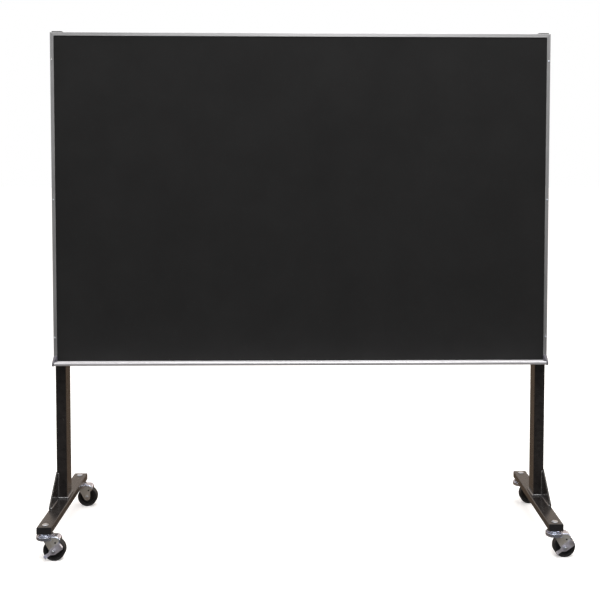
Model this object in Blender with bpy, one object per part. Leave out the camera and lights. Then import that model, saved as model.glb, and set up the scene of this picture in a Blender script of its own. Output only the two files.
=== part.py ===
"""A mobile framed tack board with a pin tray, on two steel T-legs with swivel casters.

Metres, +Z up. The board faces -Y and the casters stand on Z = 0. The stand is laid out about its
own middle (X = 0) and the front faces of its posts (Y = 0). One empty then carries it to the
centre of its own bounds, because all four casters trail towards +X.
"""
import math

import bmesh
import bpy
from mathutils import Matrix, Vector

# Fits shared by all pieces
SEAT_GAP = 0.0003
RUNNING_GAP = 0.0005
CUT_OVERRUN = 0.002
MERGE_DISTANCE = 0.000001

# Board: a sandwich panel in a mitred channel frame
BOARD_WIDTH = 1.8288
BOARD_HEIGHT = 1.2192
BOARD_DEPTH = 0.0254
BOARD_TOP = 1.851
RAIL_FACE = 0.0127
RAIL_WALL = 0.0016
PANEL_BITE = 0.0045
FACE_SHEET = 0.0012
CORK_SHEET = 0.0064
KEY_LEG = 0.05
KEY_DEPTH = 0.012

# Screws that hold the side rails to the posts
BOARD_SCREW_RADIUS = 0.002
BOARD_SCREW_HEAD_RADIUS = 0.0034
BOARD_SCREW_HEAD_HEIGHT = 0.002
BOARD_SCREW_LENGTH = 0.034
BOARD_SCREW_EDGE = 0.0052
BOARD_SCREW_END_DISTANCE = 0.1

# Pin tray along the bottom rail
TRAY_DEPTH = 0.061
TRAY_WALL = 0.002
TRAY_FLANGE = 0.016
TRAY_LIP_WALL = 0.0036
TRAY_LIP_RISE = 0.0065
TRAY_LIP_DROP = 0.0035
TRAY_LIP_BULGE = 0.002
TRAY_CAP_WIDTH = 0.0145
TRAY_CAP_FRONT_WIDTH = 0.0062
TRAY_CAP_RISE = 0.02
TRAY_CAP_LIP = 0.0012
TRAY_CAP_BEVEL = 0.0016
TRAY_SCREW_RADIUS = 0.0018
TRAY_SCREW_HEAD_RADIUS = 0.0034
TRAY_SCREW_HEAD_HEIGHT = 0.002
TRAY_SCREW_LENGTH = 0.011
TRAY_SCREW_EDGE = 0.0055
TRAY_SCREW_END_DISTANCE = 0.06
TRAY_HOLE_RADIUS = 0.0045
TRAY_HOLE_END_DISTANCE = 0.0785
TRAY_HOLE_BACK_DISTANCE = 0.0105

# Posts: upright rectangular tubes, flush with the ends of the board
POST_WIDTH = 0.0381
POST_DEPTH = 0.0762
POST_WALL = 0.002
POST_CORNER = 0.003
POST_CAP_HEIGHT = 0.0062
POST_CAP_BEVEL = 0.0015
POST_PLUG = 0.015
POST_PLUG_WALL = 0.0025

# Feet: level rectangular tubes under the posts
FOOT_LENGTH = 0.6096
FOOT_WIDTH = 0.0508
FOOT_HEIGHT = 0.0254
FOOT_TOP = 0.122
FOOT_WALL = 0.0025
FOOT_CORNER = 0.003
FOOT_CAP = 0.0025
FOOT_CAP_BEVEL = 0.001
FOOT_PLUG = 0.012
CORNER_STEPS = 3

# Gusset plates and weld beads between post and foot
GUSSET_LENGTH = 0.127
GUSSET_HEIGHT = 0.1016
GUSSET_PLATE = 0.005
GUSSET_LAND = 0.008
WELD_LEG = 0.005
WELD_CROWN = 0.0033
WELD_BITE = 0.0008

# Casters: swivel forks on bearing races, bolted through the feet
SWIVEL_INSET = 0.0254
STEM_RADIUS = 0.006
STEM_HEAD_RADIUS = 0.0115
STEM_HEAD_HEIGHT = 0.0038
STEM_TAIL = 0.002
STEM_NUT_RADIUS = 0.0095
STEM_NUT_HEIGHT = 0.0065
RACE_BOSS_RADIUS = 0.02
RACE_BOSS_HEIGHT = 0.0045
RACE_FLANGE_RADIUS = 0.0275
RACE_FLANGE_HEIGHT = 0.0025
BALL_RADIUS = 0.0025
BALL_PITCH_RADIUS = 0.021
BALL_COUNT = 8
BALL_SIDES = 6
BALL_RINGS = 4
BALL_SEAT_DEPTH = 0.0006
CROWN_RADIUS = 0.031
CROWN_RIM_WALL = 0.0025
CROWN_RIM_HEIGHT = 0.003
CROWN_RIM_DROP = 0.007
CROWN_RIM_CHAMFER = 0.002
CROWN_RIM_OVERHANG = 0.0005
FORK_WALL = 0.003
FORK_HEEL = 0.008
FORK_EYE_RADIUS = 0.0125
FORK_SPARE_HOLE_RADIUS = 0.0032
FORK_SPARE_HOLE_RISE = 0.028
FORK_SPARE_HOLE_OFFSET = 0.006
HOOD_RISE = 0.0024
HOOD_REACH = 0.0545
HOOD_BEND = 0.016
HOOD_STEPS = 6
HOOD_END = math.radians(20)
SKIRT_INSET = 0.0016
SKIRT_LOW = 0.067
SKIRT_ROOT = 0.061
WHEEL_RADIUS = 0.038
WHEEL_WIDTH = 0.0318
WHEEL_TRAIL = 0.032
WHEEL_SIDE_GAP = 0.0015
WHEEL_CLEARANCE = 0.0015
TYRE_THICKNESS = 0.008
TYRE_SHOULDER = 0.003
HUB_RIM = 0.004
HUB_RIM_INSET = 0.0025
HUB_WEB = 0.01
HUB_BOSS_RADIUS = 0.0105
HUB_END_GAP = 0.0009
AXLE_RADIUS = 0.004
AXLE_HEAD_RADIUS = 0.0075
AXLE_HEAD_HEIGHT = 0.0024
AXLE_NUT_RADIUS = 0.0075
AXLE_NUT_HEIGHT = 0.0065
AXLE_TAIL = 0.002
FINE_STEPS = 32
ROUND_STEPS = 20
SMALL_STEPS = 12
HEX_SIDES = 6

# Side-lock levers on the two front casters
LEVER_REACH = 0.036
LEVER_PLATE = 0.0025
LEVER_EYE_RADIUS = 0.0135
LEVER_TIP_WIDTH = 0.013
LEVER_WING_WIDTH = 0.026
LEVER_WING_REACH = 0.0315
LEVER_NECK_WIDTH = 0.011
LEVER_NECK_REACH = 0.018
LEVER_TAB = 0.013
LEVER_TILT = math.radians(35)

# Shares of the sizes that carry them
PAN_HEAD_FLAT_SHARE = 0.6
PAN_HEAD_EDGE_SHARE = 0.45
LIP_ROUND_STEPS = 8
LEVER_EYE_STEPS = 4
SMOOTH_ANGLE = math.radians(40)

# Levels, depths and widths that follow from the sizes above
BOARD_BACK_Y = -SEAT_GAP
BOARD_FRONT_Y = BOARD_BACK_Y - BOARD_DEPTH
BOARD_BOTTOM = BOARD_TOP - BOARD_HEIGHT
TRAY_FLOOR_Z = BOARD_BOTTOM + RAIL_FACE
TRAY_LENGTH = BOARD_WIDTH - 2 * (TRAY_CAP_WIDTH + SEAT_GAP)
POST_X = (BOARD_WIDTH - POST_WIDTH) / 2
FOOT_X = (BOARD_WIDTH - FOOT_WIDTH) / 2
FOOT_BOTTOM = FOOT_TOP - FOOT_HEIGHT
SWIVEL_Y = FOOT_LENGTH / 2 - SWIVEL_INSET
RACE_TOP = FOOT_BOTTOM - SEAT_GAP
RACE_BOTTOM = RACE_TOP - RACE_BOSS_HEIGHT - RACE_FLANGE_HEIGHT
BALL_Z = RACE_BOTTOM + BALL_SEAT_DEPTH - BALL_RADIUS
CROWN_TOP = BALL_Z - BALL_RADIUS - SEAT_GAP
CROWN_BOTTOM = CROWN_TOP - FORK_WALL
HOOD_TOP = CROWN_TOP + HOOD_RISE
FORK_INNER = WHEEL_WIDTH / 2 + WHEEL_SIDE_GAP
FORK_OUTER = FORK_INNER + FORK_WALL
RIGHT_REACH = FOOT_X + WHEEL_TRAIL + WHEEL_RADIUS
LEFT_REACH = max(BOARD_WIDTH / 2, FOOT_X + CROWN_RADIUS + CROWN_RIM_OVERHANG)
CENTRE_SHIFT = (RIGHT_REACH - LEFT_REACH) / 2

# Base colour, roughness and metallic value of each finish
FINISHES = {
    "black_cloth": ((0.018, 0.018, 0.018), 0.85, 0.0),
    "cork": ((0.42, 0.26, 0.13), 0.9, 0.0),
    "fibreboard": ((0.23, 0.15, 0.09), 0.85, 0.0),
    "satin_aluminium": ((0.58, 0.58, 0.59), 0.34, 1.0),
    "grey_plastic": ((0.16, 0.15, 0.19), 0.45, 0.0),
    "black_steel": ((0.012, 0.012, 0.013), 0.32, 0.0),
    "black_plastic": ((0.01, 0.01, 0.01), 0.5, 0.0),
    "zinc": ((0.62, 0.62, 0.6), 0.3, 1.0),
    "chrome": ((0.75, 0.75, 0.77), 0.12, 1.0),
    "tyre": ((0.012, 0.011, 0.012), 0.6, 0.0),
}

# Directions, sides and the names that pieces take from them
X_AXIS = Vector((1, 0, 0))
Y_AXIS = Vector((0, 1, 0))
Z_AXIS = Vector((0, 0, 1))
SIDES = {"left": -1, "right": 1}
ENDS = {"front": -1, "rear": 1}
ROWS = ("low", "middle", "high")


def axes(first, second, third, place=(0, 0, 0)):
    """A matrix that takes drawing coordinates to the three given axes at a place."""
    turn = Matrix((first, second, third)).transposed()
    return Matrix.Translation(place) @ turn.to_4x4()


# Frames for outlines and profiles, which are drawn out along the third axis
UPRIGHT = axes(X_AXIS, Y_AXIS, Z_AXIS)
ALONG_Y = axes(X_AXIS, Z_AXIS, Y_AXIS)


def clear_scene():
    """Remove whatever the file holds."""
    for item in list(bpy.data.objects):
        bpy.data.objects.remove(item, do_unlink=True)


def finish_material(name, finish):
    """One Principled material for one node."""
    colour, roughness, metallic = FINISHES[finish]
    material = bpy.data.materials.new(name)
    material.use_nodes = True
    shader = material.node_tree.nodes["Principled BSDF"]
    shader.inputs["Base Color"].default_value = (*colour, 1)
    shader.inputs["Roughness"].default_value = roughness
    shader.inputs["Metallic"].default_value = metallic
    return material


def add_empty(name, place, parent=None):
    """An empty that marks a joint's axis or carries a group."""
    empty = bpy.data.objects.new(name, None)
    bpy.context.scene.collection.objects.link(empty)
    empty.parent = parent
    empty.location = place
    return empty


def add_object(name, shape, parent, place):
    """Turn a finished bmesh into an object."""
    bmesh.ops.remove_doubles(shape, verts=shape.verts, dist=MERGE_DISTANCE)
    bmesh.ops.recalc_face_normals(shape, faces=shape.faces)
    mesh = bpy.data.meshes.new(name)
    shape.to_mesh(mesh)
    shape.free()
    item = bpy.data.objects.new(name, mesh)
    bpy.context.scene.collection.objects.link(item)
    item.parent = parent
    item.location = place
    return item


def add_node(name, shape, finish, parent, place=(0, 0, 0), smooth=False):
    """Make one node of the part."""
    node = add_object(name, shape, parent, place)
    node.data.materials.append(finish_material(name, finish))
    if smooth:
        node.data.shade_smooth()
        node.data.set_sharp_from_angle(angle=SMOOTH_ANGLE)
    return node


def change(node, shape, operation):
    """Cut a shape out of a node, or join it on, with a guide object that isn't a node."""
    guide = add_object(f"{node.name}_{operation.lower()}", shape, node.parent, node.location)
    guide.hide_render = True
    guide.display_type = "WIRE"
    modifier = node.modifiers.new(operation.lower(), "BOOLEAN")
    modifier.operation = operation
    modifier.solver = "EXACT"
    modifier.object = guide


def bevel_edges(node, width, segments=2):
    """Round a node's sharp edges."""
    modifier = node.modifiers.new("edges", "BEVEL")
    modifier.width = width
    modifier.segments = segments
    modifier.limit_method = "ANGLE"
    modifier.use_clamp_overlap = True


def extrude(shape, faces, shift):
    """Extrude faces into a closed solid and return the vertices of the far end."""
    grown = bmesh.ops.extrude_face_region(shape, geom=faces)["geom"]
    far = [item for item in grown if isinstance(item, bmesh.types.BMVert)]
    bmesh.ops.translate(shape, verts=far, vec=shift)
    return far


def add_prism(shape, outline, start, end, frame=UPRIGHT):
    """Draw a closed outline out along the frame's third axis."""
    verts = [shape.verts.new(frame @ Vector((u, v, start))) for u, v in outline]
    face = shape.faces.new(verts)
    return extrude(shape, [face], frame.to_3x3() @ Vector((0, 0, end - start)))


def add_tube(shape, outer, inner, start, end, frame=UPRIGHT):
    """Draw the ring between two outlines out along the frame's third axis."""
    edges = []
    for outline in (outer, inner):
        verts = [shape.verts.new(frame @ Vector((u, v, start))) for u, v in outline]
        edges += [shape.edges.new((verts[i - 1], verts[i])) for i in range(len(verts))]
    faces = bmesh.ops.bridge_loops(shape, edges=edges)["faces"]
    extrude(shape, faces, frame.to_3x3() @ Vector((0, 0, end - start)))


def add_turned(shape, profile, steps, frame=UPRIGHT):
    """Spin a profile of (radius, height) points about the frame's third axis.

    A profile that starts and ends on the axis makes a solid piece, any other a ring.
    """
    verts = [shape.verts.new(frame @ Vector((radius, 0, height))) for radius, height in profile]
    first = 0 if profile[0][0] > 0 else 1
    edges = [shape.edges.new((verts[i - 1], verts[i])) for i in range(first, len(verts))]
    centre = frame @ Vector((0, 0, 0))
    axis = frame.to_3x3() @ Z_AXIS
    turn = 2 * math.pi
    bmesh.ops.spin(shape, geom=verts + edges, cent=centre, axis=axis, angle=turn, steps=steps,
                   use_merge=True)


def rectangle(width, height, centre=(0, 0)):
    """The corners of a plain rectangle."""
    u, v = centre
    return [(u + i * width / 2, v + j * height / 2) for i, j in ((-1, -1), (1, -1), (1, 1), (-1, 1))]


def round_rectangle(width, height, radius, steps=CORNER_STEPS):
    """The outline of a rectangle with round corners."""
    points = []
    for quarter, (i, j) in enumerate(((1, 1), (-1, 1), (-1, -1), (1, -1))):
        for step in range(steps + 1):
            angle = (quarter + step / steps) * math.pi / 2
            u = i * (width / 2 - radius) + radius * math.cos(angle)
            v = j * (height / 2 - radius) + radius * math.sin(angle)
            points.append((u, v))
    return points


def arc(centre, radius, start, end, steps):
    """Points along an arc, with both of its ends."""
    angles = [start + (end - start) * step / steps for step in range(steps + 1)]
    return [(centre[0] + radius * math.cos(a), centre[1] + radius * math.sin(a)) for a in angles]


def circle(radius, steps, centre=(0, 0)):
    """The outline of a circle or of a regular polygon."""
    return arc(centre, radius, 0, 2 * math.pi, steps)[:-1]


def add_screw(shape, frame, radius, head_radius, head_height, length):
    """A pan-head screw whose head's underside lies at the frame's origin, above its shank."""
    edge = head_height * PAN_HEAD_EDGE_SHARE
    flat = head_radius * PAN_HEAD_FLAT_SHARE
    profile = [(0, head_height), (flat, head_height), (head_radius, edge), (head_radius, 0),
               (radius, 0), (radius, radius - length), (0, -length)]
    add_turned(shape, profile, SMALL_STEPS, frame)


def add_round_cut(shape, radius, start, end, frame, steps=SMALL_STEPS):
    """A round cutter that runs past both ends of what it cuts."""
    add_prism(shape, circle(radius, steps), start - CUT_OVERRUN, end + CUT_OVERRUN, frame)


def board_screw_heights():
    """Heights of the screws up each side rail."""
    low = BOARD_BOTTOM + BOARD_SCREW_END_DISTANCE
    high = BOARD_TOP - BOARD_SCREW_END_DISTANCE
    return [low, (low + high) / 2, high]


def board_screw_frame(side, height, depth):
    """A frame at one side rail's screw, facing the viewer."""
    x = side * (BOARD_WIDTH / 2 - BOARD_SCREW_EDGE)
    return axes(X_AXIS, Z_AXIS, -Y_AXIS, (x, depth, height))


def tray_screw_frame(side, depth):
    """A frame at one of the tray's screws, facing the viewer."""
    x = side * (TRAY_LENGTH / 2 - TRAY_SCREW_END_DISTANCE)
    return axes(X_AXIS, Z_AXIS, -Y_AXIS, (x, depth, BOARD_BOTTOM + TRAY_SCREW_EDGE))


def rail_section():
    """The channel's outline: (inwards from the outer edge, back from the front face)."""
    inner = RAIL_WALL
    back = BOARD_DEPTH - RAIL_WALL
    return [(0, 0), (RAIL_FACE, 0), (RAIL_FACE, inner), (inner, inner), (inner, back),
            (RAIL_FACE, back), (RAIL_FACE, BOARD_DEPTH), (0, BOARD_DEPTH)]


def make_rail(name, corner, along, inward, length, cutter, stand):
    """One frame rail with both ends mitred at 45 degrees."""
    shape = bmesh.new()
    start = [corner + along * (u + SEAT_GAP) + inward * u + Y_AXIS * v for u, v in rail_section()]
    near = [shape.verts.new(point) for point in start]
    far = extrude(shape, [shape.faces.new(near)], along * length)
    for vert in far:
        inset = (vert.co - corner).dot(inward)
        vert.co -= along * 2 * (inset + SEAT_GAP)
    rail = add_node(name, shape, "satin_aluminium", stand)
    if cutter is not None:
        change(rail, cutter, "DIFFERENCE")


def side_rail_cutter(side):
    """Screw holes through a side rail's front and back lips."""
    cutter = bmesh.new()
    for height in board_screw_heights():
        frame = board_screw_frame(side, height, BOARD_FRONT_Y)
        add_round_cut(cutter, BOARD_SCREW_RADIUS + SEAT_GAP, -BOARD_DEPTH, 0, frame)
    return cutter


def tray_screw_cutter(face, wall):
    """The tray screws' holes through one wall whose face looks at the viewer."""
    cutter = bmesh.new()
    for side in SIDES.values():
        add_round_cut(cutter, TRAY_SCREW_RADIUS + SEAT_GAP, -wall, 0, tray_screw_frame(side, face))
    return cutter


def make_frame(stand):
    """The four mitred rails and the keys inside their corners."""
    half = BOARD_WIDTH / 2
    y = BOARD_FRONT_Y
    cutters = {name: side_rail_cutter(side) for name, side in SIDES.items()}
    lip_cut = tray_screw_cutter(y, RAIL_WALL)
    low = Vector((-half, y, BOARD_BOTTOM))
    high = Vector((-half, y, BOARD_TOP))
    low_right = Vector((half, y, BOARD_BOTTOM))
    make_rail("rail_top", high, X_AXIS, -Z_AXIS, BOARD_WIDTH, None, stand)
    make_rail("rail_bottom", low, X_AXIS, Z_AXIS, BOARD_WIDTH, lip_cut, stand)
    make_rail("rail_left", low, Z_AXIS, X_AXIS, BOARD_HEIGHT, cutters["left"], stand)
    make_rail("rail_right", low_right, Z_AXIS, -X_AXIS, BOARD_HEIGHT, cutters["right"], stand)
    make_corner_keys(stand)


def make_corner_keys(stand):
    """L-shaped keys that hold the rails together, in the channel beside the panel's edge."""
    outer = RAIL_WALL + SEAT_GAP
    inner = RAIL_FACE - PANEL_BITE - SEAT_GAP
    outline = [(outer, outer), (outer + KEY_LEG, outer), (outer + KEY_LEG, inner), (inner, inner),
               (inner, outer + KEY_LEG), (outer, outer + KEY_LEG)]
    middle = (BOARD_FRONT_Y + BOARD_BACK_Y) / 2
    for name, side in SIDES.items():
        for level_name, level, up in (("bottom", BOARD_BOTTOM, 1), ("top", BOARD_TOP, -1)):
            shape = bmesh.new()
            frame = axes(X_AXIS * -side, Z_AXIS * up, Y_AXIS)
            add_prism(shape, outline, -KEY_DEPTH / 2, KEY_DEPTH / 2, frame)
            place = (side * BOARD_WIDTH / 2, middle, level)
            add_node(f"corner_key_{level_name}_{name}", shape, "zinc", stand, place)


def make_panel(stand):
    """The layers enclosed in the frame, from the front face to the back."""
    width = BOARD_WIDTH - 2 * (RAIL_FACE - PANEL_BITE)
    height = BOARD_HEIGHT - 2 * (RAIL_FACE - PANEL_BITE)
    middle = (0, (BOARD_TOP + BOARD_BOTTOM) / 2)
    front = BOARD_FRONT_Y + RAIL_WALL + SEAT_GAP
    back = BOARD_BACK_Y - RAIL_WALL - SEAT_GAP
    core = back - front - FACE_SHEET - CORK_SHEET - 2 * SEAT_GAP
    layers = (("face_sheet", "black_cloth", FACE_SHEET), ("cork_sheet", "cork", CORK_SHEET),
              ("core_board", "fibreboard", core))
    for name, finish, thickness in layers:
        shape = bmesh.new()
        add_prism(shape, rectangle(width, height, middle), front, front + thickness, ALONG_Y)
        add_node(name, shape, finish, stand)
        front += thickness + SEAT_GAP


def make_board_screws(stand):
    """Pan-head screws through the side rails into the posts."""
    for name, side in SIDES.items():
        for row, height in zip(ROWS, board_screw_heights()):
            frame = board_screw_frame(side, height, BOARD_FRONT_Y - SEAT_GAP)
            shape = bmesh.new()
            add_screw(shape, frame.to_3x3().to_4x4(), BOARD_SCREW_RADIUS, BOARD_SCREW_HEAD_RADIUS,
                      BOARD_SCREW_HEAD_HEIGHT, BOARD_SCREW_LENGTH)
            node_name = f"board_screw_{name}_{row}"
            add_node(node_name, shape, "zinc", stand, frame.translation, smooth=True)


def tray_section():
    """The tray's outline: (forwards from the board's face, up from the tray's floor).

    The lip's front is an arc that bulges out between its top and its bottom edge.
    """
    back = SEAT_GAP
    inner = TRAY_DEPTH - TRAY_LIP_WALL
    low = -TRAY_WALL - TRAY_LIP_DROP
    half = (TRAY_LIP_RISE - low) / 2
    radius = (half ** 2 + TRAY_LIP_BULGE ** 2) / (2 * TRAY_LIP_BULGE)
    spread = math.asin(half / radius)
    front = arc((TRAY_DEPTH - radius, low + half), radius, spread, -spread, LIP_ROUND_STEPS)
    return [(back, 0), (inner, 0), (inner, TRAY_LIP_RISE), *front, (inner, low), (inner, -TRAY_WALL),
            (back + TRAY_WALL, -TRAY_WALL), (back + TRAY_WALL, -TRAY_FLANGE), (back, -TRAY_FLANGE)]


def make_tray(stand):
    """The aluminium tray, screwed to the bottom rail."""
    frame = axes(-Y_AXIS, Z_AXIS, X_AXIS, (0, BOARD_FRONT_Y, TRAY_FLOOR_Z))
    shape = bmesh.new()
    add_prism(shape, tray_section(), -TRAY_LENGTH / 2, TRAY_LENGTH / 2, frame)
    tray = add_node("tray", shape, "satin_aluminium", stand)
    face = BOARD_FRONT_Y - SEAT_GAP - TRAY_WALL
    cutter = tray_screw_cutter(face, TRAY_WALL)
    x = TRAY_LENGTH / 2 + TRAY_CAP_WIDTH - TRAY_HOLE_END_DISTANCE
    hole = axes(X_AXIS, Y_AXIS, Z_AXIS, (x, BOARD_FRONT_Y - TRAY_HOLE_BACK_DISTANCE, TRAY_FLOOR_Z))
    add_round_cut(cutter, TRAY_HOLE_RADIUS, -TRAY_WALL, 0, hole)
    change(tray, cutter, "DIFFERENCE")
    for name, side in SIDES.items():
        screw_frame = tray_screw_frame(side, face - SEAT_GAP)
        shape = bmesh.new()
        add_screw(shape, screw_frame.to_3x3().to_4x4(), TRAY_SCREW_RADIUS, TRAY_SCREW_HEAD_RADIUS,
                  TRAY_SCREW_HEAD_HEIGHT, TRAY_SCREW_LENGTH)
        add_node(f"tray_screw_{name}", shape, "zinc", stand, screw_frame.translation, smooth=True)


def make_tray_caps(stand):
    """Moulded cheeks that close the tray's ends and rise against the side rails."""
    front = TRAY_DEPTH + TRAY_CAP_LIP
    top = TRAY_LIP_RISE + TRAY_CAP_LIP
    low = -TRAY_WALL - TRAY_LIP_DROP - TRAY_CAP_LIP
    outline = [(SEAT_GAP, TRAY_CAP_RISE), (TRAY_LIP_WALL, TRAY_CAP_RISE), (front - TRAY_LIP_WALL, top),
               (front, top - TRAY_LIP_WALL), (front, low), (SEAT_GAP, -TRAY_FLANGE)]
    for name, side in SIDES.items():
        frame = axes(-Y_AXIS, Z_AXIS, X_AXIS * side)
        shape = bmesh.new()
        far = add_prism(shape, outline, 0, TRAY_CAP_WIDTH, frame)
        for vert in far:
            share = max(0, -vert.co.y) / front
            vert.co.x -= side * share * (TRAY_CAP_WIDTH - TRAY_CAP_FRONT_WIDTH)
        place = (side * (BOARD_WIDTH / 2 - TRAY_CAP_WIDTH), BOARD_FRONT_Y, TRAY_FLOOR_Z)
        cap = add_node(f"tray_cap_{name}", shape, "grey_plastic", stand, place)
        bevel_edges(cap, TRAY_CAP_BEVEL)


def bead_section(gap):
    """A fillet bead's outline in a corner: it bites into one surface and clears the other."""
    return [(-WELD_BITE, gap), (WELD_LEG, gap), (WELD_CROWN, WELD_CROWN), (-WELD_BITE, WELD_LEG)]


def post_beads(side):
    """The weld round a post's base, about the middle of its base: (frame, length) of each bead."""
    inner = -side * POST_WIDTH / 2
    front = -POST_DEPTH / 2
    inward = X_AXIS * -side
    across = POST_WIDTH - GUSSET_PLATE - WELD_LEG + WELD_CROWN
    depth = POST_DEPTH + 2 * WELD_CROWN
    corner = inner - side * WELD_CROWN
    across_rear = POST_WIDTH + WELD_CROWN
    return (
        (axes(-Y_AXIS, Z_AXIS, -inward, (corner, front, 0)), across),
        (axes(inward, Z_AXIS, Y_AXIS, (inner, front - WELD_CROWN, 0)), depth),
        (axes(Y_AXIS, Z_AXIS, -inward, (corner, -front, 0)), across_rear),
    )


def make_post(name, side, stand):
    """One upright tube, welded round its base, with its top cap."""
    height = BOARD_TOP - FOOT_TOP - SEAT_GAP
    outer = round_rectangle(POST_WIDTH, POST_DEPTH, POST_CORNER)
    bore_width = POST_WIDTH - 2 * POST_WALL
    bore_depth = POST_DEPTH - 2 * POST_WALL
    bore_corner = POST_CORNER - POST_WALL
    shape = bmesh.new()
    add_tube(shape, outer, round_rectangle(bore_width, bore_depth, bore_corner), 0, height)
    place = (side * POST_X, POST_DEPTH / 2, FOOT_TOP + SEAT_GAP)
    post = add_node(f"post_{name}", shape, "black_steel", stand, place, smooth=True)
    cutter = bmesh.new()
    for screw_height in board_screw_heights():
        frame = board_screw_frame(side, screw_height, 0)
        frame = Matrix.Translation(-Vector(place)) @ frame
        add_round_cut(cutter, BOARD_SCREW_RADIUS + SEAT_GAP, -POST_WALL, 0, frame)
    change(post, cutter, "DIFFERENCE")
    for frame, length in post_beads(side):
        bead = bmesh.new()
        add_prism(bead, bead_section(0), 0, length, frame)
        change(post, bead, "UNION")
    shape = bmesh.new()
    fit = 2 * SEAT_GAP
    plug_outer = round_rectangle(bore_width - fit, bore_depth - fit, bore_corner)
    plug_width = bore_width - fit - 2 * POST_PLUG_WALL
    plug_depth = bore_depth - fit - 2 * POST_PLUG_WALL
    plug_inner = round_rectangle(plug_width, plug_depth, bore_corner)
    inset = POST_CAP_BEVEL
    brim = round_rectangle(POST_WIDTH, POST_DEPTH, POST_CORNER)
    far = add_prism(shape, brim, 0, POST_CAP_HEIGHT)
    for vert in far:
        vert.co.x -= math.copysign(inset, vert.co.x)
        vert.co.y -= math.copysign(inset, vert.co.y)
    cap_place = (side * POST_X, POST_DEPTH / 2, BOARD_TOP + SEAT_GAP)
    cap = add_node(f"post_cap_{name}", shape, "black_plastic", stand, cap_place, smooth=True)
    plug = bmesh.new()
    add_tube(plug, plug_outer, plug_inner, -POST_PLUG, POST_CAP_HEIGHT / 2)
    change(cap, plug, "UNION")


def make_foot(name, side, stand):
    """One level tube with its caster bolt holes."""
    length = FOOT_LENGTH - 2 * (FOOT_CAP + SEAT_GAP)
    outer = round_rectangle(FOOT_WIDTH, FOOT_HEIGHT, FOOT_CORNER)
    bore_width = FOOT_WIDTH - 2 * FOOT_WALL
    bore_height = FOOT_HEIGHT - 2 * FOOT_WALL
    bore_corner = FOOT_CORNER - FOOT_WALL
    place = (side * FOOT_X, 0, (FOOT_TOP + FOOT_BOTTOM) / 2)
    shape = bmesh.new()
    bore = round_rectangle(bore_width, bore_height, bore_corner)
    add_tube(shape, outer, bore, -length / 2, length / 2, ALONG_Y)
    foot = add_node(f"foot_{name}", shape, "black_steel", stand, place, smooth=True)
    cutter = bmesh.new()
    half = FOOT_HEIGHT / 2
    for end in ENDS.values():
        frame = axes(X_AXIS, Y_AXIS, Z_AXIS, (0, end * SWIVEL_Y, 0))
        add_round_cut(cutter, STEM_RADIUS + SEAT_GAP, -half, half, frame, ROUND_STEPS)
    change(foot, cutter, "DIFFERENCE")


def make_foot_cap(name, side, end, stand):
    """The plug that closes one end of a foot."""
    fit = 2 * (FOOT_WALL + SEAT_GAP) + FOOT_CORNER - FOOT_WALL
    frame = axes(X_AXIS, Z_AXIS, Y_AXIS * end)
    shape = bmesh.new()
    far = add_prism(shape, round_rectangle(FOOT_WIDTH, FOOT_HEIGHT, FOOT_CORNER), 0, FOOT_CAP, frame)
    for vert in far:
        vert.co.x -= math.copysign(FOOT_CAP_BEVEL, vert.co.x)
        vert.co.z -= math.copysign(FOOT_CAP_BEVEL, vert.co.z)
    place = (side * FOOT_X, end * (FOOT_LENGTH / 2 - FOOT_CAP), (FOOT_TOP + FOOT_BOTTOM) / 2)
    cap = add_node(f"foot_cap_{name}", shape, "black_plastic", stand, place, smooth=True)
    plug = bmesh.new()
    add_prism(plug, rectangle(FOOT_WIDTH - fit, FOOT_HEIGHT - fit), -FOOT_PLUG, FOOT_CAP / 2, frame)
    change(cap, plug, "UNION")


def make_gusset(name, side, stand):
    """The triangular plate in the corner between post and foot, with the weld on its inner side."""
    outline = [(SEAT_GAP, 0), (GUSSET_LENGTH, 0), (GUSSET_LENGTH, GUSSET_LAND),
               (GUSSET_LAND, GUSSET_HEIGHT), (SEAT_GAP, GUSSET_HEIGHT)]
    inward = X_AXIS * -side
    shape = bmesh.new()
    add_prism(shape, outline, 0, GUSSET_PLATE, axes(-Y_AXIS, Z_AXIS, inward))
    place = (side * BOARD_WIDTH / 2, 0, FOOT_TOP + SEAT_GAP)
    gusset = add_node(f"gusset_{name}", shape, "black_steel", stand, place)
    face = -side * GUSSET_PLATE
    beads = (
        (axes(inward, Z_AXIS, -Y_AXIS, (face, 0, 0)), 0, GUSSET_LENGTH - GUSSET_LAND),
        (axes(inward, -Y_AXIS, Z_AXIS, (face, 0, 0)), SEAT_GAP, GUSSET_HEIGHT - GUSSET_LAND),
    )
    for frame, gap, length in beads:
        bead = bmesh.new()
        add_prism(bead, bead_section(gap), SEAT_GAP, length, frame)
        change(gusset, bead, "UNION")


def make_stem_bolt(name, stand, spot):
    """The bolt that a caster swivels on, headed on top of the foot, with its nut inside the fork."""
    under_head = FOOT_TOP + SEAT_GAP
    nut_top = CROWN_BOTTOM - RUNNING_GAP
    nut_bottom = nut_top - STEM_NUT_HEIGHT
    tail = nut_bottom - STEM_TAIL
    edge = under_head + STEM_HEAD_HEIGHT * PAN_HEAD_EDGE_SHARE
    flat = STEM_HEAD_RADIUS * PAN_HEAD_FLAT_SHARE
    head_top = under_head + STEM_HEAD_HEIGHT
    profile = [(0, head_top), (flat, head_top), (STEM_HEAD_RADIUS, edge), (STEM_HEAD_RADIUS, under_head),
               (STEM_RADIUS, under_head), (STEM_RADIUS, tail), (0, tail)]
    shape = bmesh.new()
    add_turned(shape, profile, ROUND_STEPS)
    bolt = add_node(f"stem_bolt_{name}", shape, "zinc", stand, (*spot, 0), smooth=True)
    nut = bmesh.new()
    add_prism(nut, circle(STEM_NUT_RADIUS, HEX_SIDES), nut_bottom, nut_top)
    change(bolt, nut, "UNION")


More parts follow.
